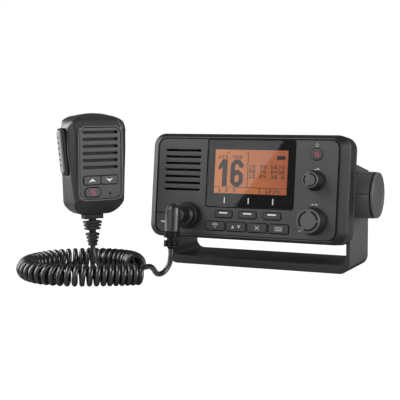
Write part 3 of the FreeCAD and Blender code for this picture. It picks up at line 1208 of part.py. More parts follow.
def mic_front_shell():
    shell = mic_shell().common(box(-2 * MIC_HALF_WIDTH, 2 * MIC_HALF_WIDTH, -2 * MIC_FRONT,
                                   MIC_PARTING, 0, 2 * MIC_TOP))
    outline = mic_panel_outline()
    rim = slab(grown(outline, HALF_GAP + MIC_RIM_WIDTH), MIC_PANEL_CORNER + MIC_RIM_WIDTH,
               -MIC_FRONT - MIC_RIM_PROUD, -MIC_FRONT + MIC_WALL)
    shell = joined([shell, rim.common(mic_rim_room())])
    shell = shell.cut(slab(grown(outline, HALF_GAP), MIC_PANEL_CORNER + HALF_GAP,
                           -2 * MIC_FRONT, mic_panel_back()))
    pocket = grown(outline, -MIC_PANEL_LEDGE)
    shell = shell.cut(slab(pocket, MIC_PANEL_CORNER - MIC_PANEL_LEDGE, -MIC_FRONT,
                           -MIC_FRONT + 2 * MIC_WALL))
    pilots = [rod_y(x, z, end - MIC_SCREW_HEAD - MIC_SCREW_LENGTH, MIC_BACK, MIC_SCREW_RADIUS)
              for x, z, end in mic_screw_places()]
    return shell.cut(group(pilots))


def mic_rim_room():
    """The raised rim stops where the case starts to curve back at the top."""
    return box(-MIC_HALF_WIDTH, MIC_HALF_WIDTH, -2 * MIC_FRONT, 0, 0, MIC_PANEL_TOP)


def mic_back_shell():
    shell = mic_shell().common(box(-2 * MIC_HALF_WIDTH, 2 * MIC_HALF_WIDTH, MIC_PARTING,
                                   2 * MIC_BACK, 0, 2 * MIC_TOP))
    cutters = [hang_button_stem(0)]
    for x, z, end in mic_screw_places():
        cutters.append(rod_y(x, z, 0, MIC_BACK + PAST, MIC_SCREW_RADIUS))
        cutters.append(rod_y(x, z, end - MIC_SCREW_HEAD, MIC_BACK + PAST, MIC_SCREW_HEAD_RADIUS))
    return shell.cut(group(cutters))


def mic_key_outlines():
    half, gap = MIC_ARROW_HALF_SPAN, MIC_ARROW_SPLIT / 2
    low, high = MIC_ARROW_Z - MIC_ARROW_HEIGHT / 2, MIC_ARROW_Z + MIC_ARROW_HEIGHT / 2
    return {"mic_up_key": (-half, -gap, low, high),
            "mic_down_key": (gap, half, low, high),
            "mic_channel_key": centred(MIC_CHANNEL_X, MIC_CHANNEL_Z, MIC_CHANNEL_WIDTH,
                                       MIC_CHANNEL_HEIGHT)}


def mic_key_corner(name):
    return MIC_CHANNEL_HEIGHT * 0.4 if name == "mic_channel_key" else KEY_CORNER


def mic_face_panel():
    plate = slab(mic_panel_outline(), MIC_PANEL_CORNER, -MIC_FRONT, mic_panel_back())
    y0, y1 = -MIC_FRONT - PAST, mic_panel_back() + PAST
    cutters = speaker_slot_cutters(0, MIC_SLOT_TOP, MIC_SLOTS, MIC_SLOT_PITCH, MIC_SLOT_LENGTH,
                                   MIC_SLOT_HEIGHT, y0, y1)
    outlines = mic_key_outlines()
    arrows = (outlines["mic_up_key"][0], outlines["mic_down_key"][1]) + outlines["mic_up_key"][2:]
    cutters.append(slab(grown(arrows, SLIDE_GAP), KEY_CORNER + SLIDE_GAP, y0, y1))
    cutters.append(slab(grown(outlines["mic_channel_key"], SLIDE_GAP),
                        mic_key_corner("mic_channel_key") + SLIDE_GAP, y0, y1))
    cutters.append(rod_y(MIC_HOLE_X, MIC_HOLE_Z, y0, y1, MIC_HOLE_RADIUS))
    return plate.cut(group(cutters))


def mic_key(name):
    outline = mic_key_outlines()[name]
    corner = mic_key_corner(name)
    front = -MIC_FRONT - MIC_KEY_PROUD
    cap = slab(outline, corner, front, mic_panel_back())
    cap = rounded_edges(cap, MIC_KEY_PROUD / 2, lambda edge: at_y(edge, front))
    left, right, bottom, top = grown(outline, MIC_KEY_FLANGE)
    left = max(left, outline[0]) if name == "mic_down_key" else left
    right = min(right, outline[1]) if name == "mic_up_key" else right
    flange = box(left, right, mic_panel_back(), mic_panel_back() + KEY_FLANGE_THICKNESS, bottom, top)
    return joined([cap, flange])


def mic_board():
    """The key board, which stands behind the keys on the shell's bosses."""
    y = mic_panel_back() + MIC_BOARD_GAP
    board = box(-MIC_BOARD_HALF_WIDTH, MIC_BOARD_HALF_WIDTH, y, y + BOARD_THICKNESS,
                MIC_BOARD_BOTTOM, MIC_BOARD_TOP)
    return board


def mic_speaker():
    y = mic_panel_back()
    drum = rod_y(0, MIC_SPEAKER_Z, y, y + MIC_SPEAKER_DEPTH, MIC_SPEAKER_RADIUS)
    magnet = rod_y(0, MIC_SPEAKER_Z, y + MIC_SPEAKER_DEPTH,
                   y + MIC_SPEAKER_DEPTH + MIC_MAGNET_DEPTH, MIC_MAGNET_RADIUS)
    return joined([drum, magnet])


def mic_capsule():
    y = mic_panel_back()
    return rod_y(MIC_HOLE_X, MIC_HOLE_Z, y, y + MIC_CAPSULE_DEPTH, MIC_CAPSULE_RADIUS)


def mic_ptt_button():
    """The push-to-talk bar on the left-hand side, its outer edges rounded."""
    bar = on_mic_side(ptt_outline(), PTT_ROUND, PTT_PROUD, PTT_DEPTH - PTT_TRAVEL - PTT_STOP)
    outermost = min(bar.Faces, key=lambda face: face.CenterOfMass.x)
    return bar.makeFillet(PTT_EDGE, outermost.Edges)


def mic_ptt_seal():
    """The dark rubber frame around the push-to-talk bar."""
    frame = on_mic_side(ptt_seal_outline(), PTT_ROUND + PTT_SEAL, PTT_SEAL_PROUD, PTT_DEPTH)
    return frame.cut(on_mic_side(grown(ptt_outline(), SLIDE_GAP), PTT_ROUND + SLIDE_GAP,
                                 PTT_SEAL_PROUD + PAST, PTT_DEPTH + PAST))


def hang_button_stem(margin):
    return rod_y(0, HANG_Z, MIC_BACK - MIC_WALL, MIC_BACK + margin, HANG_STEM_RADIUS)


def mic_hang_button():
    head_y = MIC_BACK + HANG_STEM
    head = rod_y(0, HANG_Z, head_y, head_y + HANG_HEAD, HANG_RADIUS)
    return joined([hang_button_stem(HANG_STEM), head])


def mic_screws():
    screws = []
    for x, z, end in mic_screw_places():
        head_y = end - MIC_SCREW_HEAD
        shank = rod_y(x, z, head_y - MIC_SCREW_LENGTH, head_y, MIC_SCREW_RADIUS)
        screws.append(joined([shank, rod_y(x, z, head_y, end, MIC_SCREW_HEAD_RADIUS)]))
    return group(screws)


def mic_boot():
    """The strain relief: three tapered blocks on a round spine."""
    end = MIC_BOTTOM - MIC_BOOT_LENGTH
    spine = turned_z([(MIC_BOTTOM, 0), (MIC_BOTTOM, MIC_BOOT_SPINE_TOP), (end, MIC_BOOT_SPINE_END),
                      (end, 0)], MIC_BOOT_OFFSET, 0)
    half = MIC_BOOT_THICKNESS / 2
    blocks = []
    for start, height, top_width, bottom_width in MIC_BOOT_BLOCKS:
        top = MIC_BOTTOM - start
        corners = ((-top_width, top), (top_width, top), (bottom_width, top - height),
                   (-bottom_width, top - height))
        face = polygon([Vector(MIC_BOOT_OFFSET + width / 2, -half, z) for width, z in corners])
        blocks.append(face.extrude(Vector(0, MIC_BOOT_THICKNESS, 0)))
    return joined([spine] + blocks)


# ---------------------------------------------------------------- cord
def tangent_route(points, name):
    """Straight runs joined by tangent arcs, each as large as its two runs allow."""
    edges = []
    cursor = points[0]
    radii = []
    for before, corner, after in zip(points, points[1:], points[2:]):
        arriving = (corner - before)
        leaving = (after - corner)
        half_turn = arriving.getAngle(leaving) / 2
        setback = 0.45 * min(arriving.Length, leaving.Length)
        radius = setback / math.tan(half_turn)
        radii.append(radius)
        arriving.normalize()
        leaving.normalize()
        start = corner - arriving * setback
        end = corner + leaving * setback
        inward = (leaving - arriving).normalize()
        centre = corner + inward * (radius / math.cos(half_turn))
        edges.append(Part.makeLine(cursor, start))
        edges.append(Part.Arc(start, centre - inward * radius, end).toShape())
        cursor = end
    edges.append(Part.makeLine(cursor, points[-1]))
    wire = Part.Wire(edges)
    print(name, "length %.1f" % wire.Length, "radii", " ".join("%.1f" % r for r in radii))
    return wire


def tube(points, diameter, name):
    wire = tangent_route(points, name)
    direction = points[1] - points[0]
    circle = Part.Wire(Part.makeCircle(diameter / 2, points[0], direction))
    solid = wire.makePipeShell([circle], True, True)
    section = math.pi * diameter ** 2 / 4
    print(name, "volume over section times length: %.4f" % (solid.Volume / section / wire.Length))
    return solid


def on_ring(a, b, z):
    """From the ring's own two axes and height to the row's frame."""
    turn = math.radians(RING_TURN)
    return Vector(RING_X + a * math.cos(turn) + b * math.sin(turn),
                  RING_Y + a * math.sin(turn) - b * math.cos(turn), z)


def cord_coil():
    z = COIL_DIAMETER / 2 + COIL_LIFT
    return tube([on_ring(a, b, z) for a, b in COIL_ROUTE], COIL_DIAMETER, "cord_coil")


def cord_tail(start, along, run, route, name):
    """A free stretch of cord, from a strain relief's end into the side of the coil."""
    points = [start, start + along * run] + [on_ring(*point) for point in route]
    return tube(points, CORD_DIAMETER, name)


def cord_tail_mic():
    boot_end = Part.Vertex(MIC_BOOT_OFFSET, 0, MIC_BOTTOM - MIC_BOOT_LENGTH)
    return cord_tail(placed_mic(boot_end).Point, Vector(0, 0, -1), MIC_TAIL_RUN, MIC_TAIL_ROUTE,
                     "cord_tail_mic")


def cord_tail_plug():
    end_z = SOCKET_Z + PLUG_ELBOW_BOTTOM - PLUG_BOOT_LENGTH
    y = FACE_Y - PLUG_ELBOW_FORWARD
    start = placed_radio(Part.Vertex(SOCKET_X, y, end_z)).Point
    further = placed_radio(Part.Vertex(SOCKET_X, y, end_z - 1)).Point
    return cord_tail(start, further - start, PLUG_TAIL_RUN, PLUG_TAIL_ROUTE, "cord_tail_plug")


# ---------------------------------------------------------------- placing
def placed_radio(shape):
    """From the radio's own frame, about its pivot, to the row's frame."""
    moved = shape.copy()
    moved.rotate(Vector(0, 0, 0), Vector(1, 0, 0), -TILT_AT_REST)
    moved.translate(Vector(0, PIVOT_Y, PIVOT_HEIGHT))
    return moved


def placed_mic(shape):
    moved = shape.copy()
    moved.rotate(Vector(0, 0, 0), Vector(0, 0, 1), MIC_YAW)
    moved.translate(Vector(MIC_X, MIC_Y, 0))
    return moved


def radio_pieces():
    pieces = {
        "front_bezel": front_bezel(), "face_panel": face_panel(), "front_gasket": front_gasket(),
        "display_window": display_window(), "lcd_panel": lcd_panel(),
        "lcd_backlight": lcd_backlight(), "display_board": display_board(),
        "keypad_mat": keypad_mat(), "speaker_cloth": speaker_cloth(),
        "speaker_basket": speaker_basket(), "speaker_cone": speaker_cone(),
        "channel_key": channel_key(), "distress_key": distress_key(),
        "distress_cover": distress_cover(),
        "rotary_encoders": group([rotary_encoder(VOLUME_Z), rotary_encoder(SELECT_Z)]),
        "volume_shaft": control_shaft(VOLUME_Z), "select_shaft": control_shaft(SELECT_Z),
        "volume_knob": control_knob(VOLUME_Z, VOLUME_BASE_RADIUS, VOLUME_TIP_RADIUS,
                                    VOLUME_GROOVE_RADIUS),
        "select_knob": control_knob(SELECT_Z, SELECT_BASE_RADIUS, SELECT_TIP_RADIUS,
                                    SELECT_GROOVE_RADIUS),
        "mic_socket": mic_socket(), "plug_body": plug_body(), "plug_lock_ring": plug_lock_ring(),
        "plug_boot": plug_boot(), "rear_chassis": rear_chassis(),
        "chassis_screws": chassis_screws(), "pivot_inserts": both_sides(pivot_insert),
        "friction_washers": both_sides(friction_washer), "main_board": main_board(),
        "rf_shield": rf_shield(), "antenna_socket": antenna_socket(),
        "accessory_sockets": group([accessory_socket(z) for z in ACCESSORY_Z]),
        "bracket_knob_right": bracket_knob(RIGHT_KNOB_LENGTH),
        "bracket_knob_left": mirrored(bracket_knob(LEFT_KNOB_LENGTH)),
        "knob_stud_right": knob_stud(), "knob_stud_left": mirrored(knob_stud()),
    }
    for i, x in enumerate(SOFT_KEY_X):
        pieces["soft_key_%d" % (i + 1)] = key(x, SOFT_KEY_Z, SOFT_KEY_WIDTH, SOFT_KEY_HEIGHT, KEY_CORNER)
    for i, x in enumerate(FUNCTION_KEY_X):
        pieces["function_key_%d" % (i + 1)] = key(x, FUNCTION_KEY_Z, FUNCTION_KEY_WIDTH,
                                                  FUNCTION_KEY_HEIGHT, KEY_CORNER)
    return pieces


def mic_pieces():
    pieces = {
        "mic_front_shell": mic_front_shell(), "mic_back_shell": mic_back_shell(),
        "mic_face_panel": mic_face_panel(), "mic_speaker": mic_speaker(),
        "mic_capsule": mic_capsule(), "mic_board": mic_board(),
        "mic_ptt_button": mic_ptt_button(), "mic_ptt_seal": mic_ptt_seal(),
        "mic_hang_button": mic_hang_button(), "mic_screws": mic_screws(), "mic_boot": mic_boot(),
    }
    for name in mic_key_outlines():
        pieces[name] = mic_key(name)
    return pieces


def standing_pieces():
    return {"bracket": bracket(), "cord_coil": cord_coil(), "cord_tail_mic": cord_tail_mic(),
            "cord_tail_plug": cord_tail_plug()}


def main():
    os.makedirs("parts", exist_ok=True)
    pieces = standing_pieces()
    pieces.update({name: placed_radio(shape) for name, shape in radio_pieces().items()})
    pieces.update({name: placed_mic(shape) for name, shape in mic_pieces().items()})
    for name, shape in pieces.items():
        shape.exportStep("parts/%s.step" % name)
    print(len(pieces), "nodes written")


main()
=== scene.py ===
"""Marine VHF radio on its tilting bracket, with fist microphone and curly cord."""

import math

import bmesh
import bpy
import numpy as np
from bpy.props import FloatProperty, FloatVectorProperty, IntProperty, PointerProperty
from mathutils import Matrix, Vector
from mathutils.bvhtree import BVHTree
from mathutils.geometry import convex_hull_2d


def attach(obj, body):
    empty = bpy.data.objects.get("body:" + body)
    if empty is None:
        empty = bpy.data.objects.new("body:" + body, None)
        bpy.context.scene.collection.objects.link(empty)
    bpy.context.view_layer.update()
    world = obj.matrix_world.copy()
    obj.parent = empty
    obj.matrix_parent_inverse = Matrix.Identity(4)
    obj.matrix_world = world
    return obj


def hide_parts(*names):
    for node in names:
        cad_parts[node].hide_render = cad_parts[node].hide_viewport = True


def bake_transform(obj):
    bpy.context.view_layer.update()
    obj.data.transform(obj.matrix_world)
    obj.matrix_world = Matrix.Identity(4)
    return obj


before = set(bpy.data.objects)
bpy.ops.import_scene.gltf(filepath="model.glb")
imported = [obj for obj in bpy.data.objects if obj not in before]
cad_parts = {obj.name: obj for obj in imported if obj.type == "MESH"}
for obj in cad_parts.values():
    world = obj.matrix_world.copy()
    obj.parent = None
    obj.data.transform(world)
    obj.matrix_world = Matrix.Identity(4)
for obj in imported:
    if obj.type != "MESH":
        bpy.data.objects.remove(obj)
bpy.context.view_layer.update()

bl_info = {
    "name": "Marine VHF radio",
    "version": (1, 0, 0),
    "blender": (4, 5, 0),
    "location": "3D View > Sidebar > Radio",
    "description": "Dresses a marine VHF radio, its bracket, microphone and curly cord",
    "category": "Object",
}

MM = 0.001


def rotation(degrees, axis):
    return Matrix.Rotation(math.radians(degrees), 4, axis)


def shift(x, y, z):
    return Matrix.Translation((x, y, z))


# the radio stands on its pivots, leaned back, and the microphone beside it is turned to the front
RADIO = shift(0, -8.4 * MM, 62.8 * MM) @ rotation(-7.1, "X") @ Matrix.Scale(MM, 4)
MIC = shift(-111.3 * MM, -100.9 * MM, 0) @ rotation(58.4, "Z") @ Matrix.Scale(MM, 4)

# places in a part's own axes, in millimetres; a part's front is at negative y
FACE = -43.6
KEY_PRINT = FACE - 0.9          # marks on the keys, which stand proud of the face
WINDOW = (-32.8, 42.0, -15.0, 39.3)     # left, right, bottom and top
LIT = (-26.75, 35.95, -3.9, 31.5)       # the same of the lit area
PANE_BACK = -42.4               # the clear front sheet of the window
PRINT_BACK = -42.12             # border and figures, just behind that sheet
SOFT_KEY_X = (-16.75, 4.15, 25.05)
SOFT_KEY_Z = -21.0
FUNCTION_KEY_X = (-23.5, -5.3, 12.9, 31.1)
FUNCTION_KEY_Z = -30.8
CONTROL_X = 59.4
VOLUME_Z = 8.3
SELECT_Z = -23.3
KNOB_BACK = -44.9
KNOB_TIP = -57.1
SOCKET_X = -47.6
SOCKET_Z = -23.2
LOCK_RING_BACK = -44.6
PLUG_BOOT_END = SOCKET_Z - 27.4
ELBOW_Y = -73.6
ELBOW_FOOT = -37.6
ELBOW_GRAIN = 0.34              # cells in which the elbow's two barrels grow together
MIC_FACE = -14.0
MIC_KEY_PRINT = MIC_FACE - 0.6
MIC_SLOT_LOW = 87.05
MIC_SLOT_STEP = 5.45
MIC_BOOT_X = -0.6
MIC_BOOT_END = 22.5

CAMERA_AT = Vector((302.56, -790.81, 135.83)) * MM
CAMERA_AZIMUTH = 24.7966
CAMERA_ELEVATION = 5.4720
CAMERA_ROLL = -0.21227
CAMERA_LENS = 89.77
LAMP_DISTANCE = 1.35
FLOOR_HALF = 6.0

# the curly cord's route on the table: centre of the ring, its turn, and points in its own axes
RING_X = -103.0
RING_Y = -114.4
RING_TURN = 30.8
COIL_HEIGHT = 8.6
COIL_ROUTE = ((33.2, -2.0), (33.6, -14.5), (25.5, -30.0), (4.5, -42.3), (-19.8, -42.0),
              (-40.2, -30.2), (-52.3, -9.5), (-52.3, 14.0), (-40.2, 33.0), (-20.0, 43.6),
              (2.0, 45.9), (20.5, 46.1), (31.5, 44.9), (38.6, 42.6))
MIC_TAIL_RUN = 10.5
MIC_TAIL_ROUTE = ((11.0, -8.0, 2.25), (22.0, -3.0, 2.25), (32.8, -4.6, 2.25))
PLUG_TAIL_RUN = 6.2
PLUG_TAIL_ROUTE = ((59.6, 6.2, 8.6), (54.6, 9.4, 2.9), (48.9, 16.6, 3.2), (45.9, 26.0, 9.4),
                   (42.4, 33.6, 13.2), (37.8, 40.6, 13.0))
TURN_POINTS = 14                # control points of a turn
COIL_RADIUS = 6.4               # from the route to the middle of the wound cord

# small figures of a dot-matrix display: five rows from the top, each three dots in binary
DOTS = {"0": "75557", "1": "26227", "2": "71747", "3": "71317", "4": "55711", "5": "74717",
        "6": "74757", "7": "71222", "8": "75757", "9": "75717", ".": "00002", " ": "00000"}


def linear(code):
    """An sRGB hex colour as the linear red, green, blue and alpha that a shader takes."""
    parts = [int(code[i:i + 2], 16) / 255 for i in (1, 3, 5)]
    return tuple(p / 12.92 if p <= 0.04045 else ((p + 0.055) / 1.055) ** 2.4
                 for p in parts) + (1.0,)


# ------------------------------------------------------------------ what a user would change
def colour_setting(name, description, code):
    return FloatVectorProperty(name=name, description=description, size=4, subtype="COLOR",
                               min=0, max=1, default=linear(code))


class FinishSettings(bpy.types.PropertyGroup):
    casing: colour_setting("Casing", "Moulded plastic of the radio's front frame", "#1B1B1C")
    panel: colour_setting("Panel", "Satin plastic of the two control panels", "#474748")
    bracket: colour_setting("Bracket", "Glass-filled nylon of the bracket", "#3B3C3C")
    microphone: colour_setting("Microphone", "Moulded plastic of the microphone's shells",
                               "#2B2B2C")
    cord: colour_setting("Cord", "Polyurethane sheath of the curly cord", "#121213")
    backlight: colour_setting("Backlight", "Light of the display", "#B8613C")


def length_setting(name, description, usual, least, most):
    return FloatProperty(name=name, description=description, default=usual * MM,
                         min=least * MM, max=most * MM, unit="LENGTH", subtype="DISTANCE")


class SizeSettings(bpy.types.PropertyGroup):
    cord: length_setting("Cord", "Diameter of the cord", 4.2, 2, 8)
    coil_turns: IntProperty(
        name="Turns", description="Full turns of the curly part", default=44, min=10, max=80)
    edge: length_setting("Edge", "How far the moulded edges are rounded", 0.35, 0.05, 1)
    ridges: IntProperty(
        name="Ridges", description="Grip ridges round the plug's ring", default=36, min=8, max=72)


def size_settings():
    return bpy.context.scene.radio_sizes


def direction(azimuth, elevation):
    """The way to a place round the object: 0 is the front and 90 the right-hand side."""
    across, up = math.radians(azimuth), math.radians(elevation)
    return Vector((math.sin(across) * math.cos(up), -math.cos(across) * math.cos(up),
                   math.sin(up)))


def towards(place, x, y, z):
    """A direction in a part's own axes, as it points in the world."""
    return (place.to_3x3() @ Vector((x, y, z))).normalized()


class Step:
    """What every step of the build shares: it makes its pieces and says that it has finished."""

    def execute(self, context):
        self.make()
        return {"FINISHED"}


# ------------------------------------------------------------------ materials
MATERIALS = {}


def join(tree, source, socket):
    tree.links.new(source.outputs[0] if isinstance(source, bpy.types.Node) else source, socket)


def add(tree, kind, settings=None, links=None):
    """Adds a node, a shader's unless its kind says otherwise; settings are its own or its
    sockets' values, links are outputs by socket, and a node stands for its first output."""
    item = tree.nodes.new(kind if "Node" in kind else "ShaderNode" + kind)
    for name, value in (settings or {}).items():
        if isinstance(name, str) and hasattr(item, name):
            setattr(item, name, value)
        else:
            item.inputs[name].default_value = value
    for name, source in (links or {}).items():
        join(tree, source, item.inputs[name])
    return item


def material(name, sockets):
    """A named material with its shader's plain values set, as its tree, shader and coordinates."""
    made = bpy.data.materials.new(name)
    made.use_nodes = True
    tree = made.node_tree
    shader = tree.nodes["Principled BSDF"]
    for socket, value in sockets.items():
        shader.inputs[socket].default_value = value
    made.diffuse_color = sockets.get("Base Color", (0.5, 0.5, 0.5, 1))
    MATERIALS[name] = made
    return tree, shader, add(tree, "TexCoord").outputs["Object"]


def cloudy(tree, where, size_mm, detail):
    """Soft random patches of a size."""
    return add(tree, "TexNoise", {"Scale": 1 / (size_mm * MM), "Detail": detail},
               {"Vector": where})


def blended(tree, settings, links):
    """The mix of two colours, at sockets 6 and 7, by the share at socket 0."""
    return add(tree, "Mix", {"data_type": "RGBA", **settings}, links).outputs[2]


def shifted(colour, amount):
    return tuple(min(1.0, c * amount) for c in colour[:3]) + (1.0,)


def grain(name, colour, roughness, grain_mm, depth_mm, spread=0.06, edge_wear_and_highlight=1.25, shine=0.5,
          **sockets):
    """A dyed material with a fine texture pressed in by its tool, a little uneven in gloss,
    and paler on its edge strips (edge wear and a painted highlight); its colour is a setting or a
    code."""
    colour = linear(colour) if isinstance(colour, str) else tuple(colour)
    tree, shader, where = material(name, {"Base Color": colour, "Roughness": roughness,
                                          "Specular IOR Level": shine, **sockets})
    fine = cloudy(tree, where, grain_mm, 2.0)
    broad = cloudy(tree, where, 22, 3.0)
    tint = blended(tree, {6: shifted(colour, 1 - spread * 1.5),
                          7: shifted(colour, 1 + spread * 1.5)}, {0: broad})
    # the marked edge strips are painted paler: partly edge wear, partly a painted highlight line
    edge = add(tree, "Attribute", {"attribute_name": "edge"})
    edge_worn_and_highlit = blended(tree, {7: shifted(colour, edge_wear_and_highlight)}, {0: edge, 6: tint})
    gloss = add(tree, "MapRange", {"To Min": roughness - spread, "To Max": roughness + spread},
                {"Value": broad})
    bump = add(tree, "Bump", {"Strength": 0.5, "Distance": depth_mm * MM}, {"Height": fine})
    join(tree, edge_worn_and_highlit, shader.inputs["Base Color"])
    join(tree, gloss, shader.inputs["Roughness"])
    join(tree, bump, shader.inputs["Normal"])


def make_materials():
    colours = bpy.context.scene.radio_finish
    # polycarbonate blend, moulded in a spark-eroded tool: satin, with a fine even grain
    grain("moulded_polycarbonate", colours.casing, 0.42, 0.55, 0.02, edge_wear_and_highlight=1.9, shine=0.35)
    # the same blend in a finer tool, so its face is smoother and greyer
    grain("satin_polycarbonate", colours.panel, 0.46, 0.45, 0.02)
    # nylon with short glass fibre: waxy sheen, slightly uneven
    grain("glass_filled_nylon", colours.bracket, 0.40, 0.8, 0.04, spread=0.08)
    # the microphone's moulded shells, worn a little smoother by hands
    grain("moulded_abs", colours.microphone, 0.30, 0.5, 0.02, edge_wear_and_highlight=2.4)
    # the microphone's front panel, moulded in the same blend a shade darker
    grain("textured_abs", "#343435", 0.46, 0.45, 0.02)
    # overmoulded soft-touch elastomer of the knobs: matt with a dull highlight
    grain("soft_touch_elastomer", "#151516", 0.56, 0.4, 0.02, edge_wear_and_highlight=1.7, shine=0.3)
    # the same elastomer painted paler: a lit copy on the knobs' front faces, and painted highlight
    # lines on the panel lips
    grain("painted_light_grey", "#565657", 0.48, 0.4, 0.02, edge_wear_and_highlight=1.0)
    # nylon of the clamping knobs, greyer than the bracket
    grain("knob_nylon", "#606061", 0.40, 0.6, 0.03, edge_wear_and_highlight=1.3)
    # compression-moulded silicone keys: dull and a little translucent looking
    grain("silicone_rubber", "#3C3D3E", 0.50, 0.35, 0.015, edge_wear_and_highlight=2.2)
    # vulcanised seals and frames: dead black
    grain("black_rubber", "#0D0D0E", 0.70, 0.4, 0.02, edge_wear_and_highlight=1.2, shine=0.15)
    # pale grey thermoplastic rubber of the talk key
    grain("grey_elastomer", "#878786", 0.50, 0.5, 0.03, edge_wear_and_highlight=1.0)
    # extruded polyurethane sheath: smooth, with a soft long highlight
    grain("polyurethane_sheath", colours.cord, 0.30, 1.2, 0.02, spread=0.04, edge_wear_and_highlight=1.0,
          shine=0.7, **{"Coat Weight": 0.35, "Coat Roughness": 0.28})
    # overmoulded PVC of the plug's elbow, polished by handling
    grain("moulded_pvc", "#121213", 0.33, 0.8, 0.01, spread=0.04, shine=0.9)
    # clear hinged cover, smoked brown-grey
    grain("smoked_polycarbonate", "#4B4546", 0.22, 0.8, 0.005, spread=0.03)
    # red moulded key under the cover
    grain("red_polycarbonate", "#8E2226", 0.40, 0.5, 0.02)
    # die-cast aluminium, shot-blasted and powder-coated black: coarse dull speckle
    grain("powder_coated_casting", "#242425", 0.55, 0.9, 0.08, spread=0.08)
    # screen-printed inks: flat and slightly rough
    for name, code in (("white_ink", "#E9E9E7"), ("red_ink", "#A24E5E"), ("grey_ink", "#C4C4C4")):
        grain(name, code, 0.60, 0.3, 0.01, spread=0.03, edge_wear_and_highlight=1.0)
    # black enamel printed on the back of the window
    grain("black_enamel", "#0E0F0F", 0.60, 0.5, 0.005, spread=0.03, edge_wear_and_highlight=1.0, shine=0.1)
    # liquid-crystal figures, dark grey-brown against the lit ground
    grain("liquid_crystal", "#3B332C", 0.35, 0.4, 0.005, spread=0.03, edge_wear_and_highlight=1.0)
    # woven acoustic cloth behind the slots
    grain("acoustic_cloth", "#0B0B0C", 0.85, 0.6, 0.2, spread=0.05)
    # finer cloth in the microphone, painted paler as if lit through its slots
    grain("woven_mesh", "#242425", 0.80, 0.5, 0.15, spread=0.05)
    # pressed paper of the loudspeaker cone
    grain("pressed_paper", "#1A1918", 0.80, 1.0, 0.1, spread=0.05)
    # glass-epoxy board under green solder mask
    grain("epoxy_board", "#1F5B3A", 0.40, 1.5, 0.02, spread=0.05)
    # vulcanised fibre washers
    grain("vulcanised_fibre", "#2A2522", 0.70, 0.8, 0.05, spread=0.05)
    # moulded bodies of the encoders and other small parts
    grain("moulded_phenolic", "#161617", 0.48, 0.6, 0.02, spread=0.05)
    # diffusing acrylic behind the display
    grain("diffusing_acrylic", "#E8E2D8", 0.55, 1.0, 0.01, spread=0.03)
    # turned A4 stainless: bright with fine turning lines
    grain("turned_stainless", "#B9B8B4", 0.30, 0.3, 0.01, spread=0.08, edge_wear_and_highlight=1.0, Metallic=1.0)
    # turned brass inserts
    grain("turned_brass", "#B8934A", 0.32, 0.3, 0.01, spread=0.08, edge_wear_and_highlight=1.0, Metallic=1.0)
    # tin-plated steel can
    grain("tin_plate", "#A9ABAB", 0.35, 2.0, 0.02, spread=0.1, edge_wear_and_highlight=1.0, Metallic=1.0)
    # nickel-plated connector shells, faintly yellow
    grain("nickel_plate", "#B4AFA4", 0.25, 0.5, 0.005, spread=0.06, edge_wear_and_highlight=1.0, Metallic=1.0)
    # zinc-plated pressed steel
    grain("plated_steel", "#8C8C8A", 0.45, 0.8, 0.03, spread=0.1, edge_wear_and_highlight=1.0, Metallic=1.0)
    make_window_acrylic()
    make_backlit_glass()


def make_window_acrylic():
    """Cast acrylic with a hard coat: clear, smooth and mirror-like at a low angle."""
    tree, shader, where = material("cast_acrylic", {
        "Base Color": linear("#F4F6F6"), "Roughness": 0.02, "IOR": 1.49,
        "Transmission Weight": 1.0})
    waves = cloudy(tree, where, 40, 1.0)
    bump = add(tree, "Bump", {"Strength": 0.05, "Distance": 0.01 * MM}, {"Height": waves})
    join(tree, bump, shader.inputs["Normal"])


def make_backlit_glass():
    """The display's glass, lit from behind, with a painted reflection that makes it brighter to the
    left.
    """
    colour = tuple(bpy.context.scene.radio_finish.backlight)
    tree, shader, where = material("backlit_glass", {
        "Base Color": linear("#20120C"), "Roughness": 0.2, "Emission Strength": 1.0})
    apart = add(tree, "SeparateXYZ", links={0: where})
    across = add(tree, "MapRange", {"From Min": LIT[0] * MM, "From Max": LIT[1] * MM},
                 {"Value": apart.outputs["X"]})
    cells = cloudy(tree, where, 9, 2.0)
    # the fade from paler orange at the left to the set colour at the right is a painted reflection
    # of the soft box
    glow_with_painted_reflection = blended(tree, {6: linear("#C47843"), 7: shifted(colour, 0.78)}, {0: across})
    uneven = add(tree, "MapRange", {"To Min": 0.9, "To Max": 1.1}, {"Value": cells})
    glow = blended(tree, {"blend_type": "MULTIPLY", 0: 1.0}, {6: glow_with_painted_reflection, 7: uneven})
    join(tree, glow, shader.inputs["Emission Color"])


# ------------------------------------------------------------------ making meshes and pieces
def linked(name, data):
    """A new object for some data, in the scene."""
    made = bpy.data.objects.new(name, data)
    bpy.context.scene.collection.objects.link(made)
    return made


def result_of(carrier):
    """The mesh that an object shows; the object goes."""
    bpy.context.view_layer.update()
    ready = carrier.evaluated_get(bpy.context.evaluated_depsgraph_get())
    mesh = bpy.data.meshes.new_from_object(ready)
    bpy.data.objects.remove(carrier)
    return mesh


def evaluated(mesh, kind, **settings):
    """A mesh after one modifier."""
    carrier = linked("carrier", mesh)
    change = carrier.modifiers.new("change", kind)
    for name, value in settings.items():
        setattr(change, name, value)
    result = result_of(carrier)
    bpy.data.meshes.remove(mesh)
    return result


def edit_mesh(mesh):
    bm = bmesh.new()
    bm.from_mesh(mesh)
    return bm


def plain_mesh(bm, name):
    """The mesh of an edit mesh, which goes."""
    mesh = bpy.data.meshes.new(name)
    bm.to_mesh(mesh)
    bm.free()
    return mesh


def moved(bm, matrix):
    bmesh.ops.transform(bm, matrix=matrix, verts=bm.verts)
    return bm


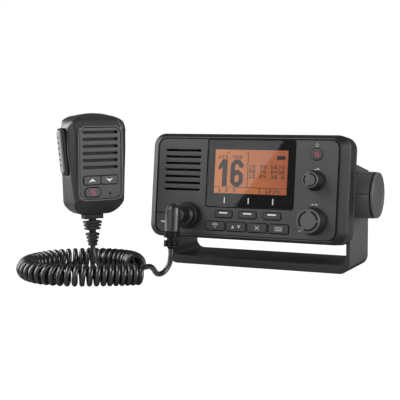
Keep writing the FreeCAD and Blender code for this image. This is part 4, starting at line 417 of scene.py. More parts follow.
def mesh_from(bm, name, place=None):
    """The mesh of an edit mesh, placed, with its doubles merged and its faces turned outwards."""
    bmesh.ops.remove_doubles(bm, verts=bm.verts, dist=1e-6)
    bmesh.ops.recalc_face_normals(bm, faces=bm.faces)
    if place is not None:
        moved(bm, place)
    return plain_mesh(bm, name)


def piece(name, mesh, finish, body, replaced=(), sharp=35):
    """An object for a finished mesh, riding on a body and standing for CAD nodes."""
    mesh.materials.clear()
    mesh.materials.append(MATERIALS[finish])
    mesh.shade_smooth()
    mesh.set_sharp_from_angle(angle=math.radians(sharp))
    if sharp < 180:
        # large flat faces keep their own shading, and the narrow rounded strips carry the turn
        mesh = evaluated(mesh, "WEIGHTED_NORMAL", mode="FACE_AREA", weight=50, keep_sharp=True)
    made = linked(name, mesh)
    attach(made, body)
    if replaced:
        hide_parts(*replaced)
    return made


def dressed(name, node, finish, body, slot, share=1.0, *rounding):
    """A piece that stands for a CAD node, its crisp edges rounded by a share of the usual."""
    mesh = softened(node, size_settings().edge * share, *rounding)
    return piece(name, mesh, finish, body, [node])


def repaint(**finishes):
    """Gives CAD nodes that stay their finishes."""
    for node, finish in finishes.items():
        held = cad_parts[node].data
        held.materials.clear()
        held.materials.append(MATERIALS[finish])


def rubber_key(name, node, marks, y, place, ink):
    """A silicone key and its printed mark, which move together."""
    dressed(name + "_rubber", node, "silicone_rubber", node, "key_rubber")
    inked(name + "_mark", marks, y, place, ink, node)


def crisp_edges(bm, angle, inside=None):
    """The convex edges sharper than an angle in degrees, all of them or those inside a region."""
    return [e for e in bm.edges
            if e.is_manifold and e.is_convex and e.calc_face_angle(0) > math.radians(angle)
            and (inside is None or all(inside(v.co) for v in e.verts))]


def softened(node, width, angle=28, wide=None, wide_width=0.0, wide_angle=24):
    """A copy of a CAD node's mesh with its crisp outer edges rounded, more where wide says so;
    the narrow rounded strips are marked to be painted paler, as edge wear and a painted highlight."""
    bm = edit_mesh(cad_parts[node].data)
    bmesh.ops.remove_doubles(bm, verts=bm.verts, dist=1e-6)
    layer = bm.faces.layers.float.new("edge")
    # the last value marks the narrow strips that the materials paint paler: edge wear and a painted
    # highlight line
    rounds = [(None, width, 2, angle, 1.0)]
    if wide is not None:
        rounds.insert(0, (wide, wide_width, 4, wide_angle, 0.0))
    for inside, reach, segments, least, mark in rounds:
        made = bmesh.ops.bevel(bm, geom=crisp_edges(bm, least, inside), offset=reach,
                               segments=segments, profile=0.5, affect="EDGES",
                               clamp_overlap=False, loop_slide=False)
        for face in made["faces"]:
            face[layer] = mark
    return plain_mesh(bm, node)


def rounded(bm, width, angle=40, segments=2):
    """Rounds the convex edges of an edit mesh."""
    bmesh.ops.remove_doubles(bm, verts=bm.verts, dist=1e-5)
    bmesh.ops.recalc_face_normals(bm, faces=bm.faces)
    bmesh.ops.bevel(bm, geom=crisp_edges(bm, angle), offset=width, segments=segments,
                    profile=0.5, affect="EDGES", clamp_overlap=True)
    return bm


def skinned(bm, rings):
    """Closes the skin between rings of points, and the two ends."""
    for low, high in zip(rings, rings[1:]):
        for step in range(len(low)):
            after = (step + 1) % len(low)
            bm.faces.new((low[step], low[after], high[after], high[step]))
    bm.faces.new(rings[0][::-1])
    bm.faces.new(rings[-1])
    return bm


def turned(profile, segments=96, depth_at=None):
    """A turned form about +Z from (radius, height) points, closed at its ends; depth_at moves a
    point of the profile by its number and angle."""
    bm = bmesh.new()
    rings = []
    for number, (radius, height) in enumerate(profile):
        ring = []
        for step in range(segments):
            angle = 2 * math.pi * step / segments
            r, h = depth_at(number, angle, radius, height) if depth_at else (radius, height)
            ring.append(bm.verts.new((r * math.cos(angle), r * math.sin(angle), h)))
        rings.append(ring)
    return skinned(bm, rings)


def joined(*parts):
    """One edit mesh from several."""
    whole = bmesh.new()
    for part in parts:
        loose = plain_mesh(part, "part")
        whole.from_mesh(loose)
        bpy.data.meshes.remove(loose)
    return whole


def facing_front(x, y, z):
    """Places a turned form so that its +Z points out of the front, at a point of the radio."""
    return shift(x, y, z) @ rotation(90, "X")


def ribbon(points, width, closed=False):
    """The outlines of a flat stroke along 2-D points, one four-sided outline for each run."""
    spots = [Vector(p) for p in points]
    count = len(spots)
    sides = []
    for i, spot in enumerate(spots):
        before = spots[i - 1] if (i or closed) else None
        after = spots[(i + 1) % count] if (i + 1 < count or closed) else None
        runs = [(spot - before).normalized()] if before is not None else []
        if after is not None:
            runs.append((after - spot).normalized())
        mean = sum(runs, Vector((0, 0))).normalized()
        out = Vector((-mean.y, mean.x))
        reach = width / 2 / max(0.5, abs(out.dot(Vector((-runs[-1].y, runs[-1].x)))))
        sides.append((spot + out * reach, spot - out * reach))
    pairs = list(zip(sides, sides[1:])) + ([(sides[-1], sides[0])] if closed else [])
    return [(a[0], a[1], b[1], b[0]) for a, b in pairs]


def outline_of(nodes, place, front):
    """The outline in x and z of what CAD nodes have in front of a y, in a part's own axes."""
    spots = [place.inverted() @ v.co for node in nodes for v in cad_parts[node].data.vertices]
    flat = [(v.x, v.z) for v in spots if v.y < front]
    return [Vector(flat[i]) for i in convex_hull_2d(flat)]


def outset(loop, by):
    """A closed outline moved outwards, or inwards for a negative distance."""
    middle = sum(loop, Vector((0, 0))) / len(loop)
    result = []
    for i, spot in enumerate(loop):
        along = (loop[(i + 1) % len(loop)] - loop[i - 1]).normalized()
        out = Vector((-along.y, along.x))
        result.append(spot + out * (by if out.dot(spot - middle) > 0 else -by))
    return result


def arc(x, z, radius, start, end, steps=10):
    angles = [math.radians(start + (end - start) * i / steps) for i in range(steps + 1)]
    return [(x + radius * math.cos(a), z + radius * math.sin(a)) for a in angles]


def box_outline(x0, x1, z0, z1):
    return ((x0, z0), (x1, z0), (x1, z1), (x0, z1))


def inked(name, outlines, y, place, finish, body, thickness=0.06):
    """Thin flat shapes standing proud of a face at y, given as outlines in x and z."""
    bm = bmesh.new()
    for outline in outlines:
        low, high = ([bm.verts.new((p[0], depth, p[1])) for p in outline]
                     for depth in (y, y - thickness))
        bm.faces.new(low)
        bm.faces.new(high)
        for i in range(len(low)):
            j = (i + 1) % len(low)
            bm.faces.new((low[i], low[j], high[j], high[i]))
    bmesh.ops.recalc_face_normals(bm, faces=bm.faces)
    return piece(name, plain_mesh(moved(bm, place), name), finish, body)


def joint_lines(name, nodes, place, front, y, body):
    """The dark gap that shows round each of a group of keys or a panel."""
    shapes = []
    for node in nodes:
        shapes += ribbon(outset(outline_of([node], place, front), 0.3), 0.9, True)
    inked(name, shapes, y, place, "black_rubber", body, thickness=0.04)


def geometry_tree(name, **sizes):
    """An empty geometry tree with a named input for each size."""
    tree = bpy.data.node_groups.new(name, "GeometryNodeTree")
    tree.interface.new_socket(name="Geometry", in_out="OUTPUT", socket_type="NodeSocketGeometry")
    for label, kind in sizes.items():
        tree.interface.new_socket(name=label, in_out="INPUT", socket_type="NodeSocket" + kind)
    return tree, add(tree, "NodeGroupInput").outputs, add(tree, "NodeGroupOutput")


def end_tree(tree, given, out, links):
    """Instances on points, made real and given their finish."""
    spread = add(tree, "GeometryNodeInstanceOnPoints", links=links)
    solid = add(tree, "GeometryNodeRealizeInstances", links={"Geometry": spread})
    finished = add(tree, "GeometryNodeSetMaterial", links={
        "Geometry": solid, "Material": given["Finish"]})
    join(tree, finished, out.inputs["Geometry"])
    return tree


def ring_tree():
    """Blocks set round a circle, each turned to face outwards."""
    tree, given, out = geometry_tree("blocks_round_a_ring", Count="Int", Radius="Float",
                                     Depth="Float", Width="Float", Height="Float",
                                     Finish="Material")
    circle = add(tree, "GeometryNodeMeshCircle", links={
        "Vertices": given["Count"], "Radius": given["Radius"]})
    size = add(tree, "CombineXYZ", links={
        "X": given["Depth"], "Y": given["Width"], "Z": given["Height"]})
    block = add(tree, "GeometryNodeMeshCube", links={"Size": size})
    place = add(tree, "GeometryNodeInputPosition")
    outwards = add(tree, "FunctionNodeAlignRotationToVector", {"axis": "X"}, {"Vector": place})
    return end_tree(tree, given, out, {
        "Points": circle, "Instance": block, "Rotation": outwards})


def row_tree():
    """Round studs or slabs in a row, each a little smaller or larger than the last."""
    tree, given, out = geometry_tree("studs_in_a_row", Count="Int", Start="Vector",
                                     Step="Vector", Sides="Int", Radius="Float",
                                     Height="Float", Shape="Vector", Turn="Vector",
                                     Growth="Float", Finish="Material")
    line = add(tree, "GeometryNodeMeshLine", links={
        "Count": given["Count"], "Start Location": given["Start"], "Offset": given["Step"]})
    stud = add(tree, "GeometryNodeMeshCylinder", links={
        "Vertices": given["Sides"], "Radius": given["Radius"], "Depth": given["Height"]})
    turned_stud = add(tree, "GeometryNodeTransform", links={
        "Geometry": stud, "Rotation": given["Turn"]})
    number = add(tree, "GeometryNodeInputIndex")
    growing = add(tree, "Math", {"operation": "MULTIPLY_ADD", 2: 1.0},
                  {0: number, 1: given["Growth"]})
    scale = add(tree, "VectorMath", {"operation": "MULTIPLY"}, {0: given["Shape"], 1: growing})
    return end_tree(tree, given, out, {
        "Points": line, "Instance": turned_stud, "Scale": scale})


TREES = {}


def grown(make_tree, finish, **values):
    """The edit mesh that a geometry tree makes from its sizes, in millimetres."""
    if make_tree not in TREES:
        TREES[make_tree] = make_tree()
    tree = TREES[make_tree]
    carrier = linked("carrier", bpy.data.meshes.new("carrier"))
    change = carrier.modifiers.new("grown", "NODES")
    change.node_group = tree
    values["Finish"] = MATERIALS[finish]
    for socket in tree.interface.items_tree:
        if socket.in_out == "INPUT" and socket.name in values:
            change[socket.identifier] = values[socket.name]
    mesh = result_of(carrier)
    bm = edit_mesh(mesh)
    bpy.data.meshes.remove(mesh)
    return bm


# ------------------------------------------------------------------ cords
def nurbs(name, points, resolution):
    """A curve of one smooth open spline with these control points, in metres."""
    curve = bpy.data.curves.new(name, "CURVE")
    curve.dimensions = "3D"
    curve.resolution_u = resolution
    spline = curve.splines.new("NURBS")
    spline.points.add(len(points) - 1)
    for point, where in zip(spline.points, points):
        point.co = (*where, 1.0)
    spline.order_u = 3
    spline.use_endpoint_u = True
    return curve


def smooth_line(points):
    """Close points along the smooth spline of a route, read from the curve itself."""
    mesh = result_of(linked("route", nurbs("route", points, 32)))
    line = [v.co.copy() for v in mesh.vertices]
    bpy.data.meshes.remove(mesh)
    return line


def on_ring(a, b, z):
    """A point from the ring's own two axes and height, in metres."""
    turn = math.radians(RING_TURN)
    return Vector((RING_X + a * math.cos(turn) + b * math.sin(turn),
                   RING_Y + a * math.sin(turn) - b * math.cos(turn), z)) * MM


def distances(line):
    total = [0.0]
    for a, b in zip(line, line[1:]):
        total.append(total[-1] + (b - a).length)
    return total


def at_distance(line, total, distance):
    """The point and direction of a line at a distance along it."""
    i = min(max(int(np.searchsorted(total, distance)), 1), len(line) - 1)
    share = (distance - total[i - 1]) / (total[i] - total[i - 1])
    return line[i - 1].lerp(line[i], share), (line[i] - line[i - 1]).normalized()


def swept(line, radius, sides=20):
    """A closed tube along a line."""
    bm = bmesh.new()
    across = Vector((0, 0, 1)).cross(line[1] - line[0])
    if across.length < 1e-9:
        across = Vector((1, 0, 0))
    rings = []
    for i, point in enumerate(line):
        ahead = (line[min(i + 1, len(line) - 1)] - line[max(i - 1, 0)]).normalized()
        across = (across - ahead * across.dot(ahead)).normalized()
        other = ahead.cross(across)
        rings.append([bm.verts.new(point + (across * math.cos(2 * math.pi * k / sides)
                                            + other * math.sin(2 * math.pi * k / sides))
                                   * radius) for k in range(sides)])
    return skinned(bm, rings)


class RADIO_OT_cord(Step, bpy.types.Operator):
    """The curly cord: the coil on the table and the two plain ends up to the strain reliefs"""
    bl_idname = "radio.cord"
    bl_label = "Curly cord"

    def make(self):
        mic_start = MIC @ Vector((MIC_BOOT_X, 0, MIC_BOOT_END))
        plug_start = RADIO @ Vector((SOCKET_X, ELBOW_Y, PLUG_BOOT_END))
        mic_route = [mic_start, mic_start - Vector((0, 0, MIC_TAIL_RUN * MM))]
        mic_route += [on_ring(*point) for point in MIC_TAIL_ROUTE]
        plug_route = [plug_start, plug_start + towards(RADIO, 0, 0, -1) * PLUG_TAIL_RUN * MM]
        plug_route += [on_ring(*point) for point in PLUG_TAIL_ROUTE]
        foot = Vector((plug_start.x - 0.9 * MM, -103.0 * MM, 2.0 * MM))
        self.tail("cord_mic_end", mic_route, "mic", mic_route[-1], "cord_tail_mic")
        self.tail("cord_plug_end", plug_route, "radio", foot, "cord_tail_plug")
        self.coil(mic_route[-1], plug_route[-1])

    def tail(self, name, route, body, end, node):
        """A plain end of the cord down to the table; the body it is given is not used."""
        line = smooth_line(route)
        thick = size_settings().cord
        mesh = mesh_from(swept(line, thick / 2), name)
        mesh.materials.append(MATERIALS["polyurethane_sheath"])
        mesh.shade_smooth()
        made = linked(name, mesh)
        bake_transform(made)
        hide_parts(node)

    def coil(self, first, last):
        """Turns of one spline about the route, narrowed at its ends to meet the plain cord."""
        line = smooth_line([on_ring(a, b, COIL_HEIGHT) for a, b in COIL_ROUTE])
        total = distances(line)
        radius = size_settings().cord / 2
        wound = COIL_RADIUS * MM / math.cos(math.pi / TURN_POINTS)
        start, start_angle = 2.6 * MM, -94.0
        finish, finish_angle = total[-1] - 4.5 * MM, 45.0
        turns = size_settings().coil_turns + (finish_angle - start_angle) / 360
        # the turns lie closer together at both ends than in the middle
        spots = np.linspace(start, finish, 400)
        pitch = (6.25 - 0.3 * np.exp(-((spots - start) / (42 * MM)) ** 2)
                 - 1.95 * np.exp(-((finish - spots) / (30 * MM)) ** 2))
        wound_up = np.concatenate([[0.0], np.cumsum(2 / (pitch[1:] + pitch[:-1]))])
        wound_up *= turns / wound_up[-1]
        points = [first]
        for turn in np.linspace(0, turns, int(turns * TURN_POINTS))[1:]:
            where, ahead = at_distance(line, total, float(np.interp(turn, wound_up, spots)))
            side = ahead.cross(Vector((0, 0, 1)))
            angle = math.radians(start_angle + 360 * turn)
            r = wound * (1 - 0.2 * max(0.0, 1 - (turns - turn) / 0.35))
            points.append(where + side * r * math.cos(angle)
                          + Vector((0, 0, r * math.sin(angle))))
        leave = (on_ring(*PLUG_TAIL_ROUTE[-2]) - last).normalized()
        points += [last - leave * 4.6 * MM, last]
        curve = nurbs("curly_cord", points, 3)
        curve.bevel_depth = radius
        curve.bevel_resolution = 3
        curve.use_fill_caps = True
        curve.materials.append(MATERIALS["polyurethane_sheath"])
        made = linked("curly_cord", curve)
        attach(made, "bracket")
        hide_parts("cord_coil")
        distances(smooth_line(points))[-1]


# ------------------------------------------------------------------ radio
class RADIO_OT_casing(Step, bpy.types.Operator):
    """The radio's front frame and face panel, with their moulded edges rounded"""
    bl_idname = "radio.casing"
    bl_label = "Casing and panel"

    def make(self):
        def outer(point):
            x, _, z = RADIO.inverted() @ point
            return abs(x) > 79.4 or z > 41.6 or z < -38.8

        dressed("casing", "front_bezel", "moulded_polycarbonate", "radio", "bezel_plastic",
                1.0, 24, outer, 3.9 * size_settings().edge)
        dressed("control_panel", "face_panel", "satin_polycarbonate", "radio", "panel_plastic")
        loop = outline_of(["face_panel", "distress_cover"], RADIO, FACE + 0.3)
        # the joint stops short of the distress cover, which swings past it
        joint = [run for run in ribbon(outset(loop, 0.25), 1.2, True)
                 if min(p.x for p in run) > -56 or max(p.y for p in run) > -16]
        inked("panel_joint", joint, FACE, RADIO, "black_rubber", "radio",
              thickness=0.03)
        # pale strips along the top and bottom of the panel's outline: painted highlight lines on
        # the casing's lip
        painted_highlight_lines = []
        for level in (40.0, -37.6):
            edge_points = [p for p in outset(loop, 1.05) if (p.y - level) * level > 0]
            painted_highlight_lines += ribbon(sorted(edge_points, key=lambda p: p.x), 0.6)
        inked("panel_lip_painted_highlight", painted_highlight_lines, FACE, RADIO, "painted_light_grey", "radio",
              thickness=0.1)


class RADIO_OT_display(Step, bpy.types.Operator):
    """The display: clear window, printed border, lit glass and its figures"""
    bl_idname = "radio.display"
    bl_label = "Display"

    def make(self):
        self.pane()
        self.border()
        self.figures()
        repaint(lcd_panel="backlit_glass", lcd_backlight="diffusing_acrylic")
        joint_lines("window_joint", ["display_window"], RADIO, front=FACE + 0.3, y=FACE,
                    body="radio")
        ticks = [box_outline(x - 0.4, x + 0.4, -12.0, -7.2) for x in SOFT_KEY_X]
        inked("window_marks", ticks, FACE, RADIO, "white_ink", "radio")

    def pane(self):
        """The window's front sheet; the print and the figures lie just behind it."""
        bm = moved(edit_mesh(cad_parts["display_window"].data), RADIO.inverted())
        for v in bm.verts:
            if v.co.y > -42.5:
                v.co.y = PANE_BACK
        rounded(bm, 0.2, 60, 2)
        piece("display_pane", mesh_from(bm, "display_pane", RADIO), "cast_acrylic", "radio",
              ["display_window"])

    def border(self):
        x0, x1, z0, z1 = (side + inset for side, inset in zip(WINDOW, (0.3, -0.3, 0.3, -0.3)))
        a0, a1, b0, b1 = LIT
        frames = [box_outline(x0, a0, z0, z1), box_outline(a1, x1, z0, z1),
                  box_outline(a0, a1, z0, b0), box_outline(a0, a1, b1, z1)]
        inked("display_border", frames, PRINT_BACK, RADIO, "black_enamel", "radio",
              thickness=0.2)

    def spot(self, across, up):
        x0, x1, z0, z1 = LIT
        return x0 + (x1 - x0) * across, z0 + (z1 - z0) * up

    def patch(self, across, up, across_to, up_to):
        (x0, z0), (x1, z1) = self.spot(across, up), self.spot(across_to, up_to)
        return box_outline(x0, x1, z0, z1)

    def written(self, signs, across, up, dot, wide=1.0):
        """A row of small dot figures from a place on the lit area."""
        x, z = self.spot(across, up)
        dots = []
        for place, sign in enumerate(signs):
            for row, dots_of_row in enumerate(DOTS[sign]):
                for column in range(3):
                    if int(dots_of_row) & (4 >> column):
                        left = x + (place * 4 + column) * dot * wide
                        low = z - row * dot
                        dots.append(box_outline(left, left + dot * wide * 0.9, low,
                                                low + dot * 0.9))
        return dots

    def figures(self):
        shapes = []
        for row in (("123.456", 0.04, 0.86, 0.58, 1.35), ("25", 0.17, 0.945, 0.36),
                    ("12", 0.42, 0.945, 0.36), ("1", 0.93, 0.945, 0.36),
                    ("12 34.5670", 0.475, 0.645, 0.6, 1.3),
                    ("98 76.5430", 0.475, 0.535, 0.6, 1.3),
                    ("10 24 36 0", 0.475, 0.425, 0.6, 1.3), ("1 2 3", 0.06, 0.095, 0.6, 1.3),
                    ("1234", 0.71, 0.095, 0.6, 1.3)):
            shapes += self.written(*row)
        # the rules between the fields, and a filled sign
        for corners in ((0.0, 0.135, 1.0, 0.148), (0.455, 0.148, 0.464, 0.93),
                        (0.63, 0.01, 0.639, 0.135), (0.85, 0.785, 0.965, 0.875)):
            shapes.append(self.patch(*corners))
        shapes += self.big_one() + self.big_six()
        inked("display_figures", shapes, PRINT_BACK, RADIO, "liquid_crystal", "radio",
              thickness=0.05)

    def big_one(self):
        x, low = self.spot(0.05, 0.16)
        high = self.spot(0, 0.775)[1]
        tall = high - low
        flag = ((x + 3.6, high), (x, high - tall * 0.27), (x, high - tall * 0.41),
                (x + 3.6, high - tall * 0.30))
        return [box_outline(x + 3.6, x + 7.9, low, high), flag]

    def big_six(self):
        x0, low = self.spot(0.222, 0.155)
        x1, high = self.spot(0.398, 0.775)
        stroke, cut = 3.7, 2.4
        left, right = x0 + stroke / 2, x1 - stroke / 2
        foot, head = low + stroke / 2, high - stroke / 2
        middle = low + (high - low) * 0.53
        bowl = [(left + cut, foot), (right - cut, foot), (right, foot + cut),
                (right, middle - cut), (right - cut, middle), (left + cut, middle),
                (left, middle - cut), (left, foot + cut)]
        neck = [(left, foot + cut), (left, head - cut), (left + cut, head), (right - cut, head),
                (right, head - cut), (right, head - cut - 2.2)]
        return ribbon(bowl, stroke, True) + ribbon(neck, stroke)


class RADIO_OT_keys(Step, bpy.types.Operator):
    """The radio's rubber keys, their printed marks, and the covered distress key"""
    bl_idname = "radio.keys"
    bl_label = "Keys"

    def make(self):
        dash = [box_outline(-3.6, 3.6, 0.5, 1.75)]
        names = []
        for group, places, z, marks, ink in (
                ("soft_key", SOFT_KEY_X, SOFT_KEY_Z, [dash] * 3, "white_ink"),
                ("function_key", FUNCTION_KEY_X, FUNCTION_KEY_Z, self.function_marks(),
                 "grey_ink")):
            for number, (x, mark) in enumerate(zip(places, marks), 1):
                names.append(f"{group}_{number}")
                outlines = [[(x + p[0], z + p[1]) for p in shape] for shape in mark]
                rubber_key(names[-1], names[-1], outlines, KEY_PRINT, RADIO, ink)
        rubber_key("channel_key", "channel_key", small_sixteen(59.8, 28.8, 4.2, 0.75),
                   KEY_PRINT, RADIO, "red_ink")
        dressed("distress_key_red", "distress_key", "red_polycarbonate", "distress_key",
                "red_key")
        dressed("distress_cover_lid", "distress_cover", "smoked_polycarbonate",
                "distress_cover", "cover_plastic")
        inked("distress_cover_mark", [box_outline(-73.0, -66.0, -29.9, -28.6)], FACE + 0.12,
              RADIO, "white_ink", "distress_cover")
        self.panel_marks()
        joint_lines("key_joints", names + ["channel_key"], RADIO, front=-44.2, y=FACE,
                    body="radio")

    def function_marks(self):
        waves = ribbon(arc(0, -0.4, 1.6, 20, 160), 0.5) + ribbon(arc(0, -0.4, 2.8, 20, 160), 0.5)
        waves += [box_outline(-0.5, 0.5, -1.3, -0.4)]
        up_down = [((-4.0, -1.3), (-1.2, -1.3), (-2.6, 1.3)), ((1.2, 1.3), (4.0, 1.3), (2.6, -1.3))]
        cross = ribbon([(-1.7, -1.5), (1.7, 1.5)], 0.6) + ribbon([(-1.7, 1.5), (1.7, -1.5)], 0.6)
        bars = [box_outline(-3.2, 3.2, z - 0.28, z + 0.28) for z in (-1.3, 0.0, 1.3)]
        return waves, up_down, cross, bars

    def panel_marks(self):
        """Small plain signs above the controls: power, volume and turn."""
        power = ribbon(arc(59.7, 36.1, 1.15, 120, 420, 12), 0.32)
        power += [box_outline(59.55, 59.85, 36.2, 37.6)]
        wedge = [((57.2, 16.7), (62.2, 16.7), (62.2, 18.2))]
        arrows = [((56.8, -10.4), (58.2, -9.6), (58.2, -11.2)),
                  ((62.4, -10.4), (61.0, -11.2), (61.0, -9.6)),
                  box_outline(58.2, 61.0, -10.6, -10.2)]
        corner = [box_outline(47.4, 49.6, -31.7, -31.2)]
        inked("panel_marks", power + wedge + arrows + corner, FACE, RADIO, "grey_ink", "radio")


def small_sixteen(x, z, wide, stroke):
    """The plain number sixteen, drawn in straight strokes about a centre."""
    h = wide * 0.42
    one = [(-0.42, 0.45), (-0.2, 1), (-0.2, -1)]
    six = [(0.45, 1), (0.05, 1), (0.05, -1), (0.45, -1), (0.45, 0), (0.05, 0)]
    return [run for sign in (one, six)
            for run in ribbon([(x + wide * a, z + h * b) for a, b in sign], stroke)]


class RADIO_OT_knobs(Step, bpy.types.Operator):
    """The volume and select knobs, with the groove in each cap"""
    bl_idname = "radio.knobs"
    bl_label = "Control knobs"

    def make(self):
        self.knob("volume_knob", VOLUME_Z, 8.0, 6.3, 4.7, 0.55, ((118, 20), (235, 16)))
        self.knob("select_knob", SELECT_Z, 11.0, 9.4, 7.2, 0.75, ((90, 16), (0, 6), (232, 14)))
        repaint(volume_shaft="turned_stainless", select_shaft="turned_stainless")

    def knob(self, node, z, base, tip, groove, half, bridges):
        """A cone with a ring groove in its cap, filled where the bridges cross it."""
        tall = KNOB_BACK - KNOB_TIP
        profile = [(base - 1.6, 0), (base - 0.4, 0), (base, 0.4), (base, 1.6),
                   (base - 0.3, 2.4), (tip + 0.25, tall - 1.3), (tip, tall - 0.55),
                   (tip - 0.3, tall - 0.14), (tip - 0.8, tall), (groove + half, tall),
                   (groove + half - 0.15, tall - 1.1), (groove - half + 0.15, tall - 1.1),
                   (groove - half, tall), (groove * 0.5, tall), (0.4, tall)]
        groove_floor = (10, 11)

        def bridged(number, angle, radius, height):
            if number not in groove_floor:
                return radius, height
            turn = math.degrees(angle)
            near = min(abs((turn - at + 180) % 360 - 180) - wide for at, wide in bridges)
            share = min(1.0, max(0.0, near / 4))
            return radius, height + (1 - share) * 1.05

        bm = moved(turned(profile, 120, bridged), facing_front(CONTROL_X, KNOB_BACK, z))
        made = piece(node + "_cap", mesh_from(bm, node, RADIO), "soft_touch_elastomer", node,
                     [node], sharp=30)
        # the front faces take a paler copy of the elastomer: painted light, as if lit
        made.data.materials.append(MATERIALS["painted_light_grey"])
        front = towards(RADIO, 0, -1, 0)
        for face in made.data.polygons:
            at = RADIO.inverted() @ face.center
            if at.y < KNOB_TIP + 0.7 and face.normal.dot(front) > 0.3:
                face.material_index = 1


class RADIO_OT_plug(Step, bpy.types.Operator):
    """The microphone plug: elbow, knurled ring and lattice strain relief"""
    bl_idname = "radio.plug"
    bl_label = "Plug"

    def make(self):
        self.elbow()
        self.ring()
        self.boot()

    def elbow(self):
        """A domed upright barrel grown together with the short one behind it."""
        upright = [(5.2, 0.0), (5.9, 0.25), (6.1, 0.9), (6.1, 15.0), (5.95, 17.6), (5.3, 19.9),
                   (4.0, 21.7), (2.2, 22.75), (0.3, 23.0)]
        lying = [(6.0, 4.0), (6.9, 4.4), (7.0, 5.2), (7.0, 17.5), (7.7, 18.0), (8.4, 18.5),
                 (8.6, 19.2), (8.6, 21.8), (8.3, 22.1), (5.0, 22.1)]
        backwards = shift(SOCKET_X, ELBOW_Y, SOCKET_Z) @ rotation(-90, "X")
        both = joined(moved(turned(upright, 64), shift(SOCKET_X, ELBOW_Y, ELBOW_FOOT)),
                      moved(turned(lying, 64), backwards))
        shell = evaluated(plain_mesh(both, "elbow"), "REMESH", mode="VOXEL",
                          voxel_size=ELBOW_GRAIN)
        mesh = evaluated(shell, "SMOOTH", factor=0.5, iterations=8)
        mesh.transform(RADIO)
        piece("plug_elbow", mesh, "moulded_pvc", "radio", ["plug_body"], sharp=180)

    def ring(self):
        """The lock ring with its grip ridges."""
        length, radius = 8.0, 10.55
        profile = [(8.9, 0.0), (10.0, 0.0), (radius, 0.5), (radius, length - 0.6),
                   (9.9, length), (8.9, length)]
        ridges = grown(ring_tree, "moulded_phenolic", Count=size_settings().ridges,
                       Radius=radius, Depth=0.8, Width=0.95, Height=length - 1.8)
        ridges = moved(rounded(ridges, 0.2, 40, 1), shift(0, 0, length / 2))
        whole = moved(joined(turned(profile), ridges),
                      facing_front(SOCKET_X, LOCK_RING_BACK, SOCKET_Z))
        piece("plug_ring", mesh_from(whole, "plug_ring", RADIO), "moulded_phenolic",
              "plug_lock_ring", ["plug_lock_ring"], sharp=40)
        repaint(mic_socket="moulded_phenolic")

    def boot(self):
        """Two short lattices of bars and hoops about the cord."""
        core = [(0.5, 0), (2.6, 0.0), (3.2, 0.6), (3.8, 6.0), (4.2, 13.0), (0.5, 13.0)]
        parts = [turned(core, 32)]
        for low, tall, radius in ((8.8, 4.2, 6.5), (1.6, 5.2, 6.1)):
            bars = grown(ring_tree, "soft_touch_elastomer", Count=9, Radius=radius - 1.3,
                         Depth=2.6, Width=1.3, Height=tall)
            parts.append(moved(rounded(bars, 0.2, 40, 1), shift(0, 0, low + tall / 2)))
            hoop = [(radius - 1.5, -0.42), (radius - 0.25, -0.5), (radius, -0.25),
                    (radius, 0.25), (radius - 0.25, 0.5), (radius - 1.5, 0.42)]
            for level in (0.55, tall / 2, tall - 0.55):
                parts.append(moved(turned(hoop, 48), shift(0, 0, low + level)))
        whole = moved(joined(*parts), shift(SOCKET_X, ELBOW_Y, PLUG_BOOT_END))
        piece("plug_strain_relief", mesh_from(whole, "plug_boot", RADIO),
              "soft_touch_elastomer", "radio", ["plug_boot"])


class RADIO_OT_back(Step, bpy.types.Operator):
    """The casting behind the casing, its sockets and screws, and the parts inside"""
    bl_idname = "radio.back"
    bl_label = "Back and inside"

    def make(self):
        dressed("back_casting", "rear_chassis", "powder_coated_casting", "radio", "cast_chassis")
        repaint(front_gasket="black_rubber", chassis_screws="turned_stainless",
                pivot_inserts="turned_brass", friction_washers="vulcanised_fibre",
                main_board="epoxy_board", display_board="epoxy_board", rf_shield="tin_plate",
                antenna_socket="nickel_plate", accessory_sockets="moulded_phenolic",
                keypad_mat="black_rubber", speaker_cloth="acoustic_cloth",
                speaker_basket="plated_steel", speaker_cone="pressed_paper",
                rotary_encoders="moulded_phenolic")


